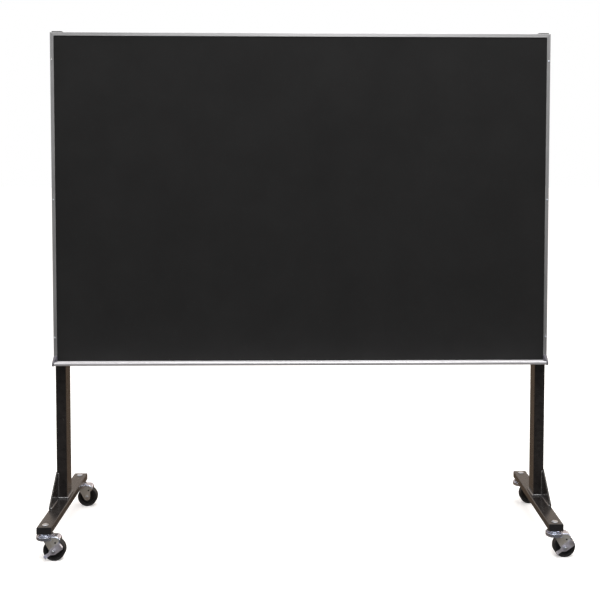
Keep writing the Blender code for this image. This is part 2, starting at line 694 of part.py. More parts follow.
def make_race(name, stand, spot):
    """The upper bearing race, fixed under the foot, with its row of balls."""
    flange_top = RACE_BOTTOM + RACE_FLANGE_HEIGHT
    bore = STEM_RADIUS + SEAT_GAP
    profile = [(bore, RACE_TOP), (RACE_BOSS_RADIUS, RACE_TOP), (RACE_BOSS_RADIUS, flange_top),
               (RACE_FLANGE_RADIUS, flange_top), (RACE_FLANGE_RADIUS, RACE_BOTTOM), (bore, RACE_BOTTOM)]
    shape = bmesh.new()
    add_turned(shape, profile, ROUND_STEPS)
    race = add_node(f"race_{name}", shape, "chrome", stand, (*spot, 0), smooth=True)
    balls = bmesh.new()
    for i in range(BALL_COUNT):
        angle = 2 * math.pi * i / BALL_COUNT
        centre = (BALL_PITCH_RADIUS * math.cos(angle), BALL_PITCH_RADIUS * math.sin(angle), BALL_Z)
        bmesh.ops.create_uvsphere(balls, u_segments=BALL_SIDES, v_segments=BALL_RINGS,
                                  radius=BALL_RADIUS, matrix=Matrix.Translation(centre))
    change(race, balls, "UNION")


def hood_bend(inset):
    """The bend at the hood's nose, from its free edge up to its top, inset from the outer face."""
    centre = (HOOD_REACH - HOOD_BEND, HOOD_TOP - HOOD_BEND)
    return arc(centre, HOOD_BEND - inset, HOOD_END, math.pi / 2, HOOD_STEPS)


def touch_angle(corner, centre, radius, turn):
    """Where on a circle the line from an outside corner touches it, on the side that turn picks."""
    slant = math.atan2(corner[1] - centre[1], corner[0] - centre[0])
    return slant + turn * math.acos(radius / math.dist(corner, centre))


def fork_outline():
    """The fork's side view, legs and hood together: (back from the stem, up from the floor).

    Behind the legs the hood's sides hang down as a skirt.
    """
    centre = (WHEEL_TRAIL, WHEEL_RADIUS)
    heel = (-FORK_HEEL, CROWN_BOTTOM)
    touch = touch_angle(heel, centre, FORK_EYE_RADIUS, 1)
    eye = arc(centre, FORK_EYE_RADIUS, touch, 2 * math.pi, ROUND_STEPS // 2)
    skirt = [(WHEEL_TRAIL + FORK_EYE_RADIUS, SKIRT_ROOT), (HOOD_REACH - SKIRT_INSET, SKIRT_LOW)]
    return [(-FORK_HEEL, HOOD_TOP), heel, *eye, *skirt, *hood_bend(0)]


def wheel_space():
    """What the bent sheet leaves free between its legs: the same side view, one wall in from the top."""
    low = WHEEL_RADIUS - FORK_EYE_RADIUS - CUT_OVERRUN
    heel = -FORK_HEEL - CUT_OVERRUN
    toe = HOOD_REACH + CUT_OVERRUN
    nose = hood_bend(FORK_WALL)
    return [(heel, low), (toe, low), (toe, nose[0][1]), *nose, (heel, HOOD_TOP - FORK_WALL)]


def make_fork(name, swivel):
    """The swivel fork: legs and hood bent from one sheet, crown plate with its rim, and the bores.

    The rim hangs below the crown plate like a collar, cut away where the wheel passes.
    """
    inner = CROWN_RADIUS - CROWN_RIM_WALL
    outer = CROWN_RADIUS + CROWN_RIM_OVERHANG
    base = CROWN_TOP - FORK_WALL / 3
    rim_top = CROWN_TOP + CROWN_RIM_HEIGHT
    rim_low = CROWN_BOTTOM - CROWN_RIM_DROP
    collar = [(inner, rim_low), (outer - CROWN_RIM_CHAMFER, rim_low), (outer, rim_low + CROWN_RIM_CHAMFER),
              (outer, rim_top), (inner, rim_top)]
    shape = bmesh.new()
    add_prism(shape, fork_outline(), -FORK_OUTER, FORK_OUTER, ALONG_Y)
    fork = add_node(f"fork_{name}", shape, "chrome", swivel, smooth=True)
    space = bmesh.new()
    add_prism(space, wheel_space(), -FORK_INNER, FORK_INNER, ALONG_Y)
    change(fork, space, "DIFFERENCE")
    seat = bmesh.new()
    add_round_cut(seat, (inner + outer) / 2, base, HOOD_TOP, UPRIGHT, FINE_STEPS)
    change(fork, seat, "DIFFERENCE")
    crown = bmesh.new()
    add_prism(crown, circle(CROWN_RADIUS, FINE_STEPS), CROWN_BOTTOM, CROWN_TOP)
    change(fork, crown, "UNION")
    rim = bmesh.new()
    add_turned(rim, collar, FINE_STEPS)
    change(fork, rim, "UNION")
    wheel_room = bmesh.new()
    axle = axes(X_AXIS, Z_AXIS, Y_AXIS, (WHEEL_TRAIL, 0, WHEEL_RADIUS))
    add_prism(wheel_room, circle(WHEEL_RADIUS + WHEEL_CLEARANCE, FINE_STEPS), -FORK_INNER, FORK_INNER, axle)
    change(fork, wheel_room, "DIFFERENCE")
    cutter = bmesh.new()
    add_round_cut(cutter, STEM_RADIUS + RUNNING_GAP, CROWN_BOTTOM, CROWN_TOP, UPRIGHT, ROUND_STEPS)
    spare = (FORK_SPARE_HOLE_RADIUS, FORK_SPARE_HOLE_OFFSET, FORK_SPARE_HOLE_RISE)
    for radius, offset, rise in ((AXLE_RADIUS + SEAT_GAP, 0, 0), spare):
        frame = axes(X_AXIS, Z_AXIS, Y_AXIS, (WHEEL_TRAIL + offset, 0, WHEEL_RADIUS + rise))
        add_round_cut(cutter, radius, -FORK_OUTER, FORK_OUTER, frame)
    change(fork, cutter, "DIFFERENCE")


def make_axle(name, axle, spacer):
    """The axle bolt with its nut, which clamps the legs and, as the spacer, any side-lock lever.

    The nut faces the viewer over a lever, and the round head does on a plain caster.
    """
    head = FORK_OUTER + SEAT_GAP
    head_top = head + AXLE_HEAD_HEIGHT
    nut = FORK_OUTER + spacer + SEAT_GAP
    tail = nut + AXLE_NUT_HEIGHT + AXLE_TAIL
    frame = ALONG_Y if spacer else axes(X_AXIS, -Z_AXIS, -Y_AXIS)
    profile = [(0, head_top), (AXLE_HEAD_RADIUS * PAN_HEAD_FLAT_SHARE, head_top),
               (AXLE_HEAD_RADIUS, head + AXLE_HEAD_HEIGHT * PAN_HEAD_EDGE_SHARE), (AXLE_HEAD_RADIUS, head),
               (AXLE_RADIUS, head), (AXLE_RADIUS, -tail), (0, -tail)]
    shape = bmesh.new()
    add_turned(shape, profile, SMALL_STEPS, frame)
    bolt = add_node(f"axle_bolt_{name}", shape, "zinc", axle, smooth=True)
    hexagon = bmesh.new()
    add_prism(hexagon, circle(AXLE_NUT_RADIUS, HEX_SIDES), -nut - AXLE_NUT_HEIGHT, -nut, frame)
    change(bolt, hexagon, "UNION")


def make_wheel(name, axle):
    """The hub and its tyre, both turned about the axle."""
    seat = WHEEL_RADIUS - TYRE_THICKNESS
    half = WHEEL_WIDTH / 2
    flank = half - TYRE_SHOULDER / 2
    edge = WHEEL_RADIUS - TYRE_SHOULDER
    side = [(seat, flank), (edge, half), (WHEEL_RADIUS, half - TYRE_SHOULDER)]
    profile = [(r, -y) for r, y in side] + side[::-1]
    shape = bmesh.new()
    add_turned(shape, profile, FINE_STEPS, ALONG_Y)
    add_node(f"tyre_{name}", shape, "tyre", axle, smooth=True)
    bore = AXLE_RADIUS + RUNNING_GAP
    rim = seat - SEAT_GAP
    boss = FORK_INNER - HUB_END_GAP
    side = [(bore, boss), (HUB_BOSS_RADIUS, boss), (HUB_BOSS_RADIUS, HUB_WEB / 2),
            (rim - HUB_RIM, HUB_WEB / 2), (rim - HUB_RIM, half - HUB_RIM_INSET), (rim, half - HUB_RIM_INSET)]
    profile = [(r, -y) for r, y in side] + side[::-1]
    shape = bmesh.new()
    add_turned(shape, profile, ROUND_STEPS, ALONG_Y)
    add_node(f"hub_{name}", shape, "black_plastic", axle, smooth=True)


def make_lever(name, axle):
    """The side-lock lever: a rocking plate on the axle bolt with a tab bent out at each end.

    Its upper arm widens into a wing, and its lower arm narrows to a neck before the tab.
    """
    half = LEVER_TIP_WIDTH / 2
    wing = (LEVER_WING_REACH, LEVER_WING_WIDTH / 2)
    neck = (-LEVER_NECK_REACH, LEVER_NECK_WIDTH / 2)
    start = touch_angle(wing, (0, 0), LEVER_EYE_RADIUS, 1)
    end = touch_angle(neck, (0, 0), LEVER_EYE_RADIUS, -1)
    eye = arc((0, 0), LEVER_EYE_RADIUS, start, end, LEVER_EYE_STEPS)
    upper = [(LEVER_REACH, half), wing, *eye, neck, (-LEVER_REACH, half)]
    outline = upper + [(along, -across) for along, across in upper[::-1]]
    back = FORK_OUTER + SEAT_GAP
    front = back + LEVER_PLATE
    tilt = Matrix.Rotation(-LEVER_TILT, 4, "Y")
    frame = tilt @ ALONG_Y
    shape = bmesh.new()
    add_prism(shape, outline, -front, -back, frame)
    lever = add_node(f"brake_lever_{name}", shape, "chrome", axle)
    tabs = bmesh.new()
    for end in (-1, 1):
        middle = end * (LEVER_REACH - LEVER_PLATE / 2)
        outline = rectangle(LEVER_PLATE, LEVER_TIP_WIDTH, (middle, 0))
        add_prism(tabs, outline, -back - LEVER_TAB, -back - LEVER_PLATE / 2, frame)
    change(lever, tabs, "UNION")
    cutter = bmesh.new()
    add_round_cut(cutter, AXLE_RADIUS + RUNNING_GAP, -front, -back, frame)
    change(lever, cutter, "DIFFERENCE")


def make_caster(name, spot, has_lever, stand):
    """One caster: race and bolt in the foot, fork on its swivel axis, wheel on its axle."""
    make_race(name, stand, spot)
    make_stem_bolt(name, stand, spot)
    swivel = add_empty(f"swivel_axis_{name}", (*spot, 0), stand)
    make_fork(name, swivel)
    axle = add_empty(f"wheel_axis_{name}", (WHEEL_TRAIL, 0, WHEEL_RADIUS), swivel)
    make_axle(name, axle, LEVER_PLATE + SEAT_GAP if has_lever else 0)
    make_wheel(name, axle)
    if has_lever:
        make_lever(name, axle)


def main():
    clear_scene()
    stand = add_empty("stand", (-CENTRE_SHIFT, 0, 0))
    make_frame(stand)
    make_panel(stand)
    make_board_screws(stand)
    make_tray(stand)
    make_tray_caps(stand)
    for name, side in SIDES.items():
        make_post(name, side, stand)
        make_foot(name, side, stand)
        make_gusset(name, side, stand)
        for end_name, end in ENDS.items():
            corner = f"{end_name}_{name}"
            make_foot_cap(corner, side, end, stand)
            make_caster(corner, (side * FOOT_X, end * SWIVEL_Y), end_name == "front", stand)


main()
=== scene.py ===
# %% [markdown]
# # Dressing a mobile tack board
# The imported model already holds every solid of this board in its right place: a framed panel with
# a pin tray, two steel T-legs and four swivel casters. This file gives it the looks. Flat pieces
# keep their CAD shape and get a better finish. Rounded, bent, turned and welded pieces are
# modelled again with finer edges, each in the place of the solid that it stands for.

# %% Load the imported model
import math

import bpy
from mathutils import Matrix, Vector


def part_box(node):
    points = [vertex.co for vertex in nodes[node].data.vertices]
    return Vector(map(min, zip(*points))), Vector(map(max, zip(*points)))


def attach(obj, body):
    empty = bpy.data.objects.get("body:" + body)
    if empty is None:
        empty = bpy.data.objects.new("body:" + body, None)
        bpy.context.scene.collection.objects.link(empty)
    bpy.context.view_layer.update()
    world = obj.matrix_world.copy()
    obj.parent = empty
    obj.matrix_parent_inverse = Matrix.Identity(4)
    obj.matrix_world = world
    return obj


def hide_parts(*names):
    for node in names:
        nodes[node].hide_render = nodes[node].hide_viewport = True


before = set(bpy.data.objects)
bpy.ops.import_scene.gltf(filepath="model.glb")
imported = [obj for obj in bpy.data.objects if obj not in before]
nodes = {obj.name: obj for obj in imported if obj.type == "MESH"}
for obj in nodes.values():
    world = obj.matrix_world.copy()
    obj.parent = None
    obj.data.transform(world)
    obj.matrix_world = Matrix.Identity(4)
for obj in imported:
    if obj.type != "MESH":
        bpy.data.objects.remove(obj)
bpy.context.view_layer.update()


def neat(values):
    """Lengths rounded for printing."""
    return tuple(round(value, 4) for value in values)


# %% [markdown]
# The swivel axes and the board's middle and front are read from the solids, so that nothing has to
# be measured twice.

# %% Places that the solids give
SIDES = {"left": -1, "right": 1}
ENDS = {"front": -1, "rear": 1}
ROWS = ("low", "middle", "high")


def middle(node):
    """The centre of a solid's box."""
    low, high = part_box(node)
    return (low + high) / 2


corner_spots = {f"{end}_{side}": middle(f"race_{end}_{side}") * Vector((1, 1, 0))
                for end in ENDS for side in SIDES}
board_x = middle("face_sheet").x
board_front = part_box("rail_top")[0].y
print("board middle and front", neat((board_x, board_front)))

# %% [markdown]
# ## The camera
# The photograph was taken level, from a standing person's eye height, and shows the part below the
# lens axis. A shifted lens gives that. Here a shift does half of it and a small tilt the rest, so
# that views from other sides keep the whole object in the picture. The place and focal length come
# from fitting the board's corners and the feet.

# %% Camera
SENSOR = 36.0
PICTURE = 600
FOCAL_PIXELS = 1032.4
LENS_SHIFT = (-0.040, -0.153)
ASIDE, DISTANCE, EYE_HEIGHT = 0.0026, 3.7976, 1.4077
TILT, ROLL, YAW = -0.0518, -0.0015, -0.0224
camera_data = bpy.data.cameras.new("camera")
camera_data.sensor_width = SENSOR
camera_data.lens = SENSOR * FOCAL_PIXELS / PICTURE
camera_data.shift_x, camera_data.shift_y = LENS_SHIFT
camera = bpy.data.objects.new("camera", camera_data)
bpy.context.scene.collection.objects.link(camera)
camera.location = (board_x - ASIDE, board_front - DISTANCE, EYE_HEIGHT)
camera.rotation_euler = (math.radians(90) + TILT, ROLL, YAW)
bpy.context.scene.camera = camera
print("lens", round(camera_data.lens, 1), "mm, camera at", neat(camera.location))

# %% [markdown]
# ## Helpers for modelling
# Every new piece starts from a primitive, is shaped in edit mode and is finished with applied
# modifiers. An operator works on whatever is selected, so each helper first deselects everything
# and then picks what it needs in code, by place.


# %% Selecting
def leave():
    """Leave edit mode."""
    bpy.ops.object.mode_set(mode="OBJECT")


def rest():
    """Leave edit mode if it is on, and select nothing."""
    if bpy.context.object and bpy.context.object.mode != "OBJECT":
        leave()
    bpy.ops.object.select_all(action="DESELECT")


def only(piece):
    """Make one piece the selected and active one."""
    rest()
    piece.select_set(True)
    bpy.context.view_layer.objects.active = piece


def pick_all(piece):
    """Enter edit mode with the whole piece selected."""
    only(piece)
    bpy.ops.object.mode_set(mode="EDIT")
    bpy.ops.mesh.select_all(action="SELECT")


def face_outwards():
    """Turn all faces of the piece in edit mode outwards, and leave edit mode."""
    bpy.ops.mesh.select_all(action="SELECT")
    bpy.ops.mesh.normals_make_consistent(inside=False)
    leave()


def near(a, b):
    """True when two lengths are equal but for rounding."""
    return abs(a - b) < 0.00002


# %% Primitives
def lay(piece, turn=(0, 0, 0), place=(0, 0, 0)):
    """Turn a piece, in degrees, and move it, with the result kept in its mesh."""
    only(piece)
    piece.rotation_euler = [math.radians(angle) for angle in turn]
    piece.location = place
    bpy.ops.object.transform_apply(location=True, rotation=True, scale=True)
    return piece


def settle(name):
    """Name the new primitive and move its place into its mesh."""
    piece = bpy.context.object
    piece.name = piece.data.name = name
    bpy.ops.object.transform_apply(location=True, rotation=True, scale=True)
    return piece


def block(name, low, high):
    """A box between two corners."""
    rest()
    low, high = Vector(low), Vector(high)
    bpy.ops.mesh.primitive_cube_add(size=1, location=(low + high) / 2, scale=high - low)
    return settle(name)


# %% Turned and flat pieces
def turned(name, profile, ring=False, steps=64, turn=(0, 0, 0), place=(0, 0, 0)):
    """A circle drawn out ring by ring along (radius, height) points, solid or with a bore."""
    rest()
    radius, height = profile[0]
    bpy.ops.mesh.primitive_circle_add(vertices=steps, radius=radius, location=(0, 0, height),
                                      fill_type="NOTHING" if ring else "NGON")
    piece = settle(name)
    pick_all(piece)
    for (r0, h0), (r1, h1) in zip(profile, profile[1:]):
        bpy.ops.mesh.extrude_region_move(TRANSFORM_OT_translate={"value": (0, 0, h1 - h0)})
        bpy.ops.transform.resize(value=(r1 / r0, r1 / r0, 1), center_override=(0, 0, h1))
    if ring:
        bpy.ops.mesh.select_all(action="DESELECT")
        bpy.ops.mesh.select_non_manifold()
        bpy.ops.mesh.bridge_edge_loops()
    face_outwards()
    return lay(piece, turn, place)


def plate(name, outline, start, end):
    """A flat plate whose outline is drawn in X and Z, between two depths in Y."""
    rest()
    bpy.ops.mesh.primitive_circle_add(vertices=len(outline), radius=1, fill_type="NGON")
    piece = settle(name)
    for vert, (x, z) in zip(piece.data.vertices, outline):
        vert.co = (x, start, z)
    pick_all(piece)
    bpy.ops.mesh.extrude_region_move(TRANSFORM_OT_translate={"value": (0, end - start, 0)})
    face_outwards()
    return piece


# %% Finishing a shape
def apply(piece, kind, **settings):
    """Add a modifier with its settings and apply it."""
    only(piece)
    modifier = piece.modifiers.new(kind.lower(), kind)
    for key, value in settings.items():
        setattr(modifier, key, value)
    bpy.ops.object.modifier_apply(modifier=modifier.name)


def combine(piece, other, operation="DIFFERENCE"):
    """Cut, join or trim a piece with another, which is used up."""
    apply(piece, "BOOLEAN", operation=operation, solver="EXACT", object=other)
    bpy.data.objects.remove(other)


def drill(piece, radius, start, end, place=(0, 0, 0), turn=(0, 0, 0), steps=40):
    """Bore a round hole between two heights, at a place and turned like a drill bit."""
    bit = turned("drill", [(radius, start), (radius, end)], steps=steps, turn=turn, place=place)
    combine(piece, bit)


def round_edges(piece, width, segments=3, angle=30):
    """Round every edge that turns more than an angle."""
    apply(piece, "BEVEL", width=width, segments=segments, limit_method="ANGLE",
          angle_limit=math.radians(angle))


def bevel_edges(piece, test, offset, segments):
    """Round the edges whose two ends pass a test."""
    pick_all(piece)
    bpy.ops.mesh.select_mode(type="EDGE")
    bpy.ops.mesh.select_all(action="DESELECT")
    leave()
    for edge in piece.data.edges:
        edge.select = test(*(piece.data.vertices[i].co for i in edge.vertices))
    bpy.ops.object.mode_set(mode="EDIT")
    bpy.ops.mesh.bevel(offset=offset, segments=segments, affect="EDGES")
    leave()


def shade(piece, angle=35):
    """Smooth the shading over rounds, keep large faces flat and print the size."""
    only(piece)
    bpy.ops.object.shade_smooth_by_angle(angle=math.radians(angle))
    apply(piece, "WEIGHTED_NORMAL", keep_sharp=True)
    print(piece.name, neat(piece.dimensions), len(piece.data.polygons), "faces")


# %% Copying and handing over
def copy_of(piece, name, move=(0, 0, 0), mirror_x=False):
    """A second piece with its own mesh, moved or mirrored about the board's middle."""
    twin = piece.copy()
    twin.data = piece.data.copy()
    twin.name = twin.data.name = name
    bpy.context.scene.collection.objects.link(twin)
    if mirror_x:
        twin.data.transform(Matrix.Translation((2 * board_x, 0, 0)) @ Matrix.Scale(-1, 4, (1, 0, 0)))
        pick_all(twin)
        face_outwards()
    twin.data.transform(Matrix.Translation(move))
    return twin


def hand_over(piece, body, slot, material, *stood_for):
    """Let a finished piece ride on its body in its own finish, in place of its solids."""
    piece.data.materials.clear()
    piece.data.materials.append(material)
    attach(piece, body)
    if stood_for:
        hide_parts(*stood_for)


def second_finish(piece, material, test):
    """Give the faces whose middle and normal pass a test another finish."""
    piece.data.materials.append(material)
    for face in piece.data.polygons:
        face.material_index = int(test(face.center, face.normal))

# %% [markdown]
# ## Finishes
# Each finish is one Principled shader fed by noise patterns on Object coordinates, which are the
# same metres for every piece. An effect that several finishes share is a node group: it is built
# once and placed in each finish with its own values. The helpers add nodes to the tree that was
# started last.


# %% Placing shader nodes
def fill(socket, value):
    """Give a socket a number or a colour, or link another node's output to it."""
    if isinstance(value, bpy.types.NodeSocket):
        tree.links.new(value, socket)
    else:
        socket.default_value = value


def feed(sockets, **results):
    """Fill several sockets by name (an underscore stands for a space)."""
    for key, value in results.items():
        fill(sockets[key.replace("_", " ")], value)


def wire(kind, inputs=None, **settings):
    """Add a shader node with its inputs and settings."""
    node = tree.nodes.new("ShaderNode" + kind)
    for key, value in settings.items():
        setattr(node, key, value)
    for key, value in (inputs or {}).items():
        fill(node.inputs[key], value)
    return node


def new_group(name, inputs, outputs):
    """Start a node group on a Vector, with named inputs (default values) and outputs."""
    global tree
    tree = bpy.data.node_groups.new(name, "ShaderNodeTree")
    sockets = tree.interface
    sockets.new_socket("Vector", in_out="INPUT", socket_type="NodeSocketVector")
    for key, value in inputs.items():
        sockets.new_socket(key, in_out="INPUT", socket_type="NodeSocketFloat").default_value = value
    for key in outputs:
        sockets.new_socket(key, in_out="OUTPUT", socket_type="NodeSocketFloat")
    print("group", name)
    return tree, tree.nodes.new("NodeGroupInput").outputs, tree.nodes.new("NodeGroupOutput").inputs


def use(group, vector, **inputs):
    """Place a node group on a vector, with its own values, and return its outputs."""
    node = wire("Group", {"Vector": vector}, node_tree=group)
    feed(node.inputs, **inputs)
    return node.outputs


# %% Common nodes
def maths(operation, a, b):
    """The result of a sum on two values."""
    return wire("Math", {0: a, 1: b}, operation=operation).outputs[0]


def times(a, b):
    """Two values multiplied."""
    return maths("MULTIPLY", a, b)


def plus(a, b):
    """Two values added."""
    return maths("ADD", a, b)


def stretched(vector, amounts):
    """A vector whose three parts are multiplied by three amounts."""
    return wire("VectorMath", {0: vector, 1: amounts}, operation="MULTIPLY").outputs[0]


def noise(vector, scale, detail, **more):
    """A cloudy pattern; more sets its other inputs."""
    return wire("TexNoise", {"Vector": vector, "Scale": scale, "Detail": detail, **more}).outputs[0]


def remap(value, low, high, start=0.0, end=1.0):
    """Stretch a value from one range to another, and hold it inside that."""
    return wire("MapRange", {"Value": value, "From Min": low, "From Max": high,
                             "To Min": start, "To Max": end}).outputs[0]


def blend(share, *colours):
    """A colour between two, by a share."""
    first, second = ((*colour, 1) if isinstance(colour, tuple) else colour for colour in colours)
    return wire("Mix", {"Factor": share, 6: first, 7: second}, data_type="RGBA").outputs[2]


def toned(colour, share):
    """A colour made darker or lighter."""
    return tuple(min(1, value * share) for value in colour)


# %% [markdown]
# Drawn and extruded metal carries fine lines along its length, from the die and from brushing.
# A noise that is stretched a hundred times along one axis gives both the lines and their slow
# change in brightness.

# %% Effect: lengthwise grain
grain_group, inp, out = new_group("lengthwise grain", {"Across": 900, "Along": 6}, ("Lines", "Bands"))
amounts = wire("CombineXYZ", {0: inp["Along"], 1: inp["Across"], 2: inp["Across"]}).outputs[0]
long_lines = stretched(inp["Vector"], amounts)
slow = stretched(long_lines, (0.5, 0.12, 0.12))
feed(out, Lines=noise(long_lines, 1.0, 3.0), Bands=noise(slow, 1.0, 2.0))

# %% [markdown]
# Powder coat melts into a skin with a faint dimpled surface, like the peel of an orange. Two
# sizes of soft noise give the dimples and the slow waves under them.

# %% Effect: orange peel
peel_group, inp, out = new_group("orange peel", {"Dimples": 420}, ("Height", "Waves"))
dimples = noise(inp["Vector"], inp["Dimples"], 1.0)
waves = noise(inp["Vector"], times(inp["Dimples"], 0.12), 2.0)
feed(out, Height=plus(dimples, waves), Waves=waves)

# %% [markdown]
# Anything that is pushed about by hand gets smudges, fine dust and small scratches. They change
# the roughness more than the colour, so they show only where light glances off.

# %% Effect: handling marks
marks_group, inp, out = new_group("handling marks", {"Size": 14, "Dust Size": 900},
                                  ("Smudge", "Dust", "Scratch"))
cloud = noise(inp["Vector"], inp["Size"], 5.0, Roughness=0.62, Distortion=0.6)
grit = wire("TexVoronoi", {"Vector": inp["Vector"], "Scale": inp["Dust Size"]}).outputs["Distance"]
rare = noise(inp["Vector"], 60.0, 3.0)
skew = wire("Mapping", {"Vector": inp["Vector"], "Rotation": (0.4, 0.7, 0.3), "Scale": (24, 700, 700)})
scrape = noise(skew.outputs[0], 1.0, 1.0)
feed(out, Smudge=remap(cloud, 0.42, 0.72), Scratch=remap(scrape, 0.70, 0.76),
     Dust=times(remap(grit, 0.22, 0.12), remap(rare, 0.5, 0.66)))

# %% [markdown]
# Paint and plating rub thin on edges first. The Bevel node gives the normal that a slightly
# rounded edge would have; where it differs from the true one, there is an edge.

# %% Effect: edge wear
wear_group, inp, out = new_group("edge wear", {"Amount": 0.5}, ("Worn",))
rounded = wire("Bevel", {"Radius": 0.0012}, samples=2).outputs[0]
true = wire("NewGeometry").outputs["Normal"]
likeness = wire("VectorMath", {0: rounded, 1: true}, operation="DOT_PRODUCT").outputs["Value"]
chipped = remap(noise(inp["Vector"], 160.0, 4.0), 0.44, 0.62)
feed(out, Worn=times(times(remap(likeness, 0.995, 0.86), chipped), inp["Amount"]))


# %% Starting a finish
def new_finish(name, roughness, metallic=0.0, **constants):
    """Start a material: it, its Principled shader's inputs and its Object coordinates."""
    global tree
    finish = bpy.data.materials.new(name)
    finish.use_nodes = True
    tree = finish.node_tree
    tree.nodes.clear()
    shader = wire("BsdfPrincipled", {"Roughness": roughness, "Metallic": metallic})
    feed(shader.inputs, **constants)
    wire("OutputMaterial", {"Surface": shader.outputs[0]})
    print("finish", name)
    return finish, shader.inputs, wire("TexCoord").outputs["Object"]


def bump(height, distance, strength):
    """A normal bent by a height; the distance is its depth in metres."""
    return wire("Bump", {"Height": height, "Distance": distance, "Strength": strength}).outputs[0]


# %% [markdown]
# The tack surface is black cloth glued over cork. It is matt and nearly even, with a close weave,
# a slight nap and a few pale bits of lint. Sheen gives the nap its soft look from the side.

# %% Finish: black tack cloth
cloth, shader, coords = new_finish("black tack cloth", 0.92, Specular_IOR_Level=0.25,
                                   Sheen_Weight=0.12, Sheen_Roughness=0.5)
warp, weft = (wire("TexWave", {"Vector": coords, "Scale": 190.0, "Distortion": 0.6, "Detail Scale": 3.0},
                   bands_direction=axis).outputs["Fac"] for axis in "XZ")
threads = maths("MAXIMUM", warp, weft)
tone = plus(times(threads, 0.35), noise(coords, 5.0, 6.0, Roughness=0.6))
colour = blend(remap(tone, 0.45, 1.05), (0.0074, 0.0074, 0.0075), (0.0128, 0.0128, 0.0130))
lint = use(marks_group, coords, Dust_Size=260.0)["Dust"]
feed(shader, Base_Color=blend(times(lint, 0.25), colour, (0.1, 0.1, 0.1)),
     Normal=bump(plus(threads, noise(coords, 1400.0, 2.0)), 0.00025, 0.6))

# %% [markdown]
# Behind the cloth lie pressed cork and a fibreboard core. Cork is a mosaic of granules in three
# browns. Fibreboard is a felt of short wood fibres with darker flecks.

# %% Finish: cork and fibreboard
cork, shader, coords = new_finish("pressed cork", 0.85)
granules = wire("TexVoronoi", {"Vector": coords, "Scale": 330.0}).outputs
tint = wire("SeparateColor", {0: granules["Color"]}).outputs[0]
feed(shader, Base_Color=blend(tint, (0.26, 0.13, 0.05), (0.56, 0.34, 0.16)),
     Normal=bump(granules["Distance"], 0.0005, 0.7))

fibreboard, shader, coords = new_finish("fibreboard", 0.8)
laid = wire("Mapping", {"Vector": coords, "Scale": (260, 260, 900), "Rotation": (0, 0.5, 0)})
fibres = noise(laid.outputs[0], 1.0, 5.0, Distortion=1.2)
screen = wire("TexVoronoi", {"Vector": coords, "Scale": 420.0, "Randomness": 0.05}).outputs["Distance"]
flecks = use(marks_group, coords, Dust_Size=420.0)["Dust"]
brown = blend(remap(fibres, 0.3, 0.7), (0.12, 0.067, 0.036), (0.235, 0.145, 0.085))
patches = remap(noise(coords, 3.5, 5.0), 0.35, 0.7, 0.0, 0.35)
brown = blend(patches, brown, (0.10, 0.058, 0.034))
feed(shader, Base_Color=blend(times(flecks, 0.6), brown, (0.05, 0.03, 0.02)),
     Roughness=remap(fibres, 0.3, 0.7, 0.7, 0.88),
     Normal=bump(plus(screen, times(fibres, 0.5)), 0.0004, 0.5))

# %% [markdown]
# The frame and the tray are extruded aluminium with a satin anodised skin. The skin scatters light
# more than bare metal does, so the finish is not fully metallic. The grain follows each piece's
# length: for upright rails, a Mapping node turns the pattern. The upright rails get a darker copy
# than the level ones: painted shade on the sides and painted light on top and bottom. The tray's
# floor gets a paler, less metallic copy than its lip: painted light from above.


# %% Finish: satin aluminium
def aluminium(kind, base, roughness, metallic, turn=0):
    """Anodised aluminium, its level grain turned by an angle in degrees."""
    finish, shader, coords = new_finish(f"satin aluminium, {kind}", roughness, metallic)
    laid = wire("Mapping", {"Vector": coords, "Rotation": (0, math.radians(turn), 0)})
    grain = use(grain_group, laid.outputs[0], Across=1100.0, Along=5.0)
    marks = use(marks_group, coords, Size=9.0, Dust_Size=700.0)
    colour = blend(remap(grain["Bands"], 0.3, 0.7), toned(base, 0.86), toned(base, 1.06))
    colour = blend(times(marks["Smudge"], 0.10), colour, (0.45, 0.45, 0.46))
    rough = remap(grain["Lines"], 0.3, 0.7, roughness - 0.05, roughness + 0.06)
    rough = plus(rough, times(marks["Smudge"], 0.06))
    feed(shader, Base_Color=blend(times(marks["Dust"], 0.3), colour, (0.35, 0.34, 0.33)),
         Roughness=maths("SUBTRACT", rough, times(marks["Scratch"], 0.08)),
         Normal=bump(grain["Lines"], 0.00003, 0.5))
    return finish


# The two rail copies differ only in brightness: the lighter one is painted light, the darker one painted
# shade.
rail_level_painted_light = aluminium("level", (0.58, 0.58, 0.585), 0.38, 0.85)
rail_upright_painted_shade = aluminium("upright", (0.46, 0.46, 0.465), 0.38, 0.85, turn=90)
# The tray's floor gets a paler, less metallic copy of the lip's aluminium: painted light from above.
tray_floor_painted_light = aluminium("tray floor, painted light", (0.93, 0.915, 0.95), 0.45, 0.25)
tray_lip = aluminium("tray lip", (0.88, 0.87, 0.90), 0.34, 0.7)

# %% [markdown]
# The posts and feet are steel tube with black powder coat. It is glossy enough to mirror a pale
# room when seen at a low angle. The dimples break that mirror image up, dust settles in it, and
# the edges rub through to a dull grey.


# %% Finish: black powder coat and black plastic
def coat(name, base, roughness, dimples, depth, wear, **shine):
    """A coat or moulding with dimples, dust, smudges and rubbed edges."""
    finish, shader, coords = new_finish(name, roughness, **shine)
    peel = use(peel_group, coords, Dimples=dimples)
    marks = use(marks_group, coords, Size=11.0, Dust_Size=800.0)
    colour = blend(remap(peel["Waves"], 0.3, 0.7), toned(base, 0.75), toned(base, 1.3))
    if wear:
        rubbed = use(wear_group, coords, Amount=wear)["Worn"]
        colour = blend(rubbed, colour, (0.055, 0.053, 0.052))
    dusty = times(marks["Dust"], 0.35)
    rough = remap(marks["Smudge"], 0.0, 1.0, roughness - 0.04, roughness + 0.07)
    rough = plus(rough, times(dusty, 0.5))
    feed(shader, Base_Color=blend(dusty, colour, (0.16, 0.15, 0.14)),
         Roughness=plus(rough, times(marks["Scratch"], 0.08)), Normal=bump(peel["Height"], depth, 0.6))
    return finish


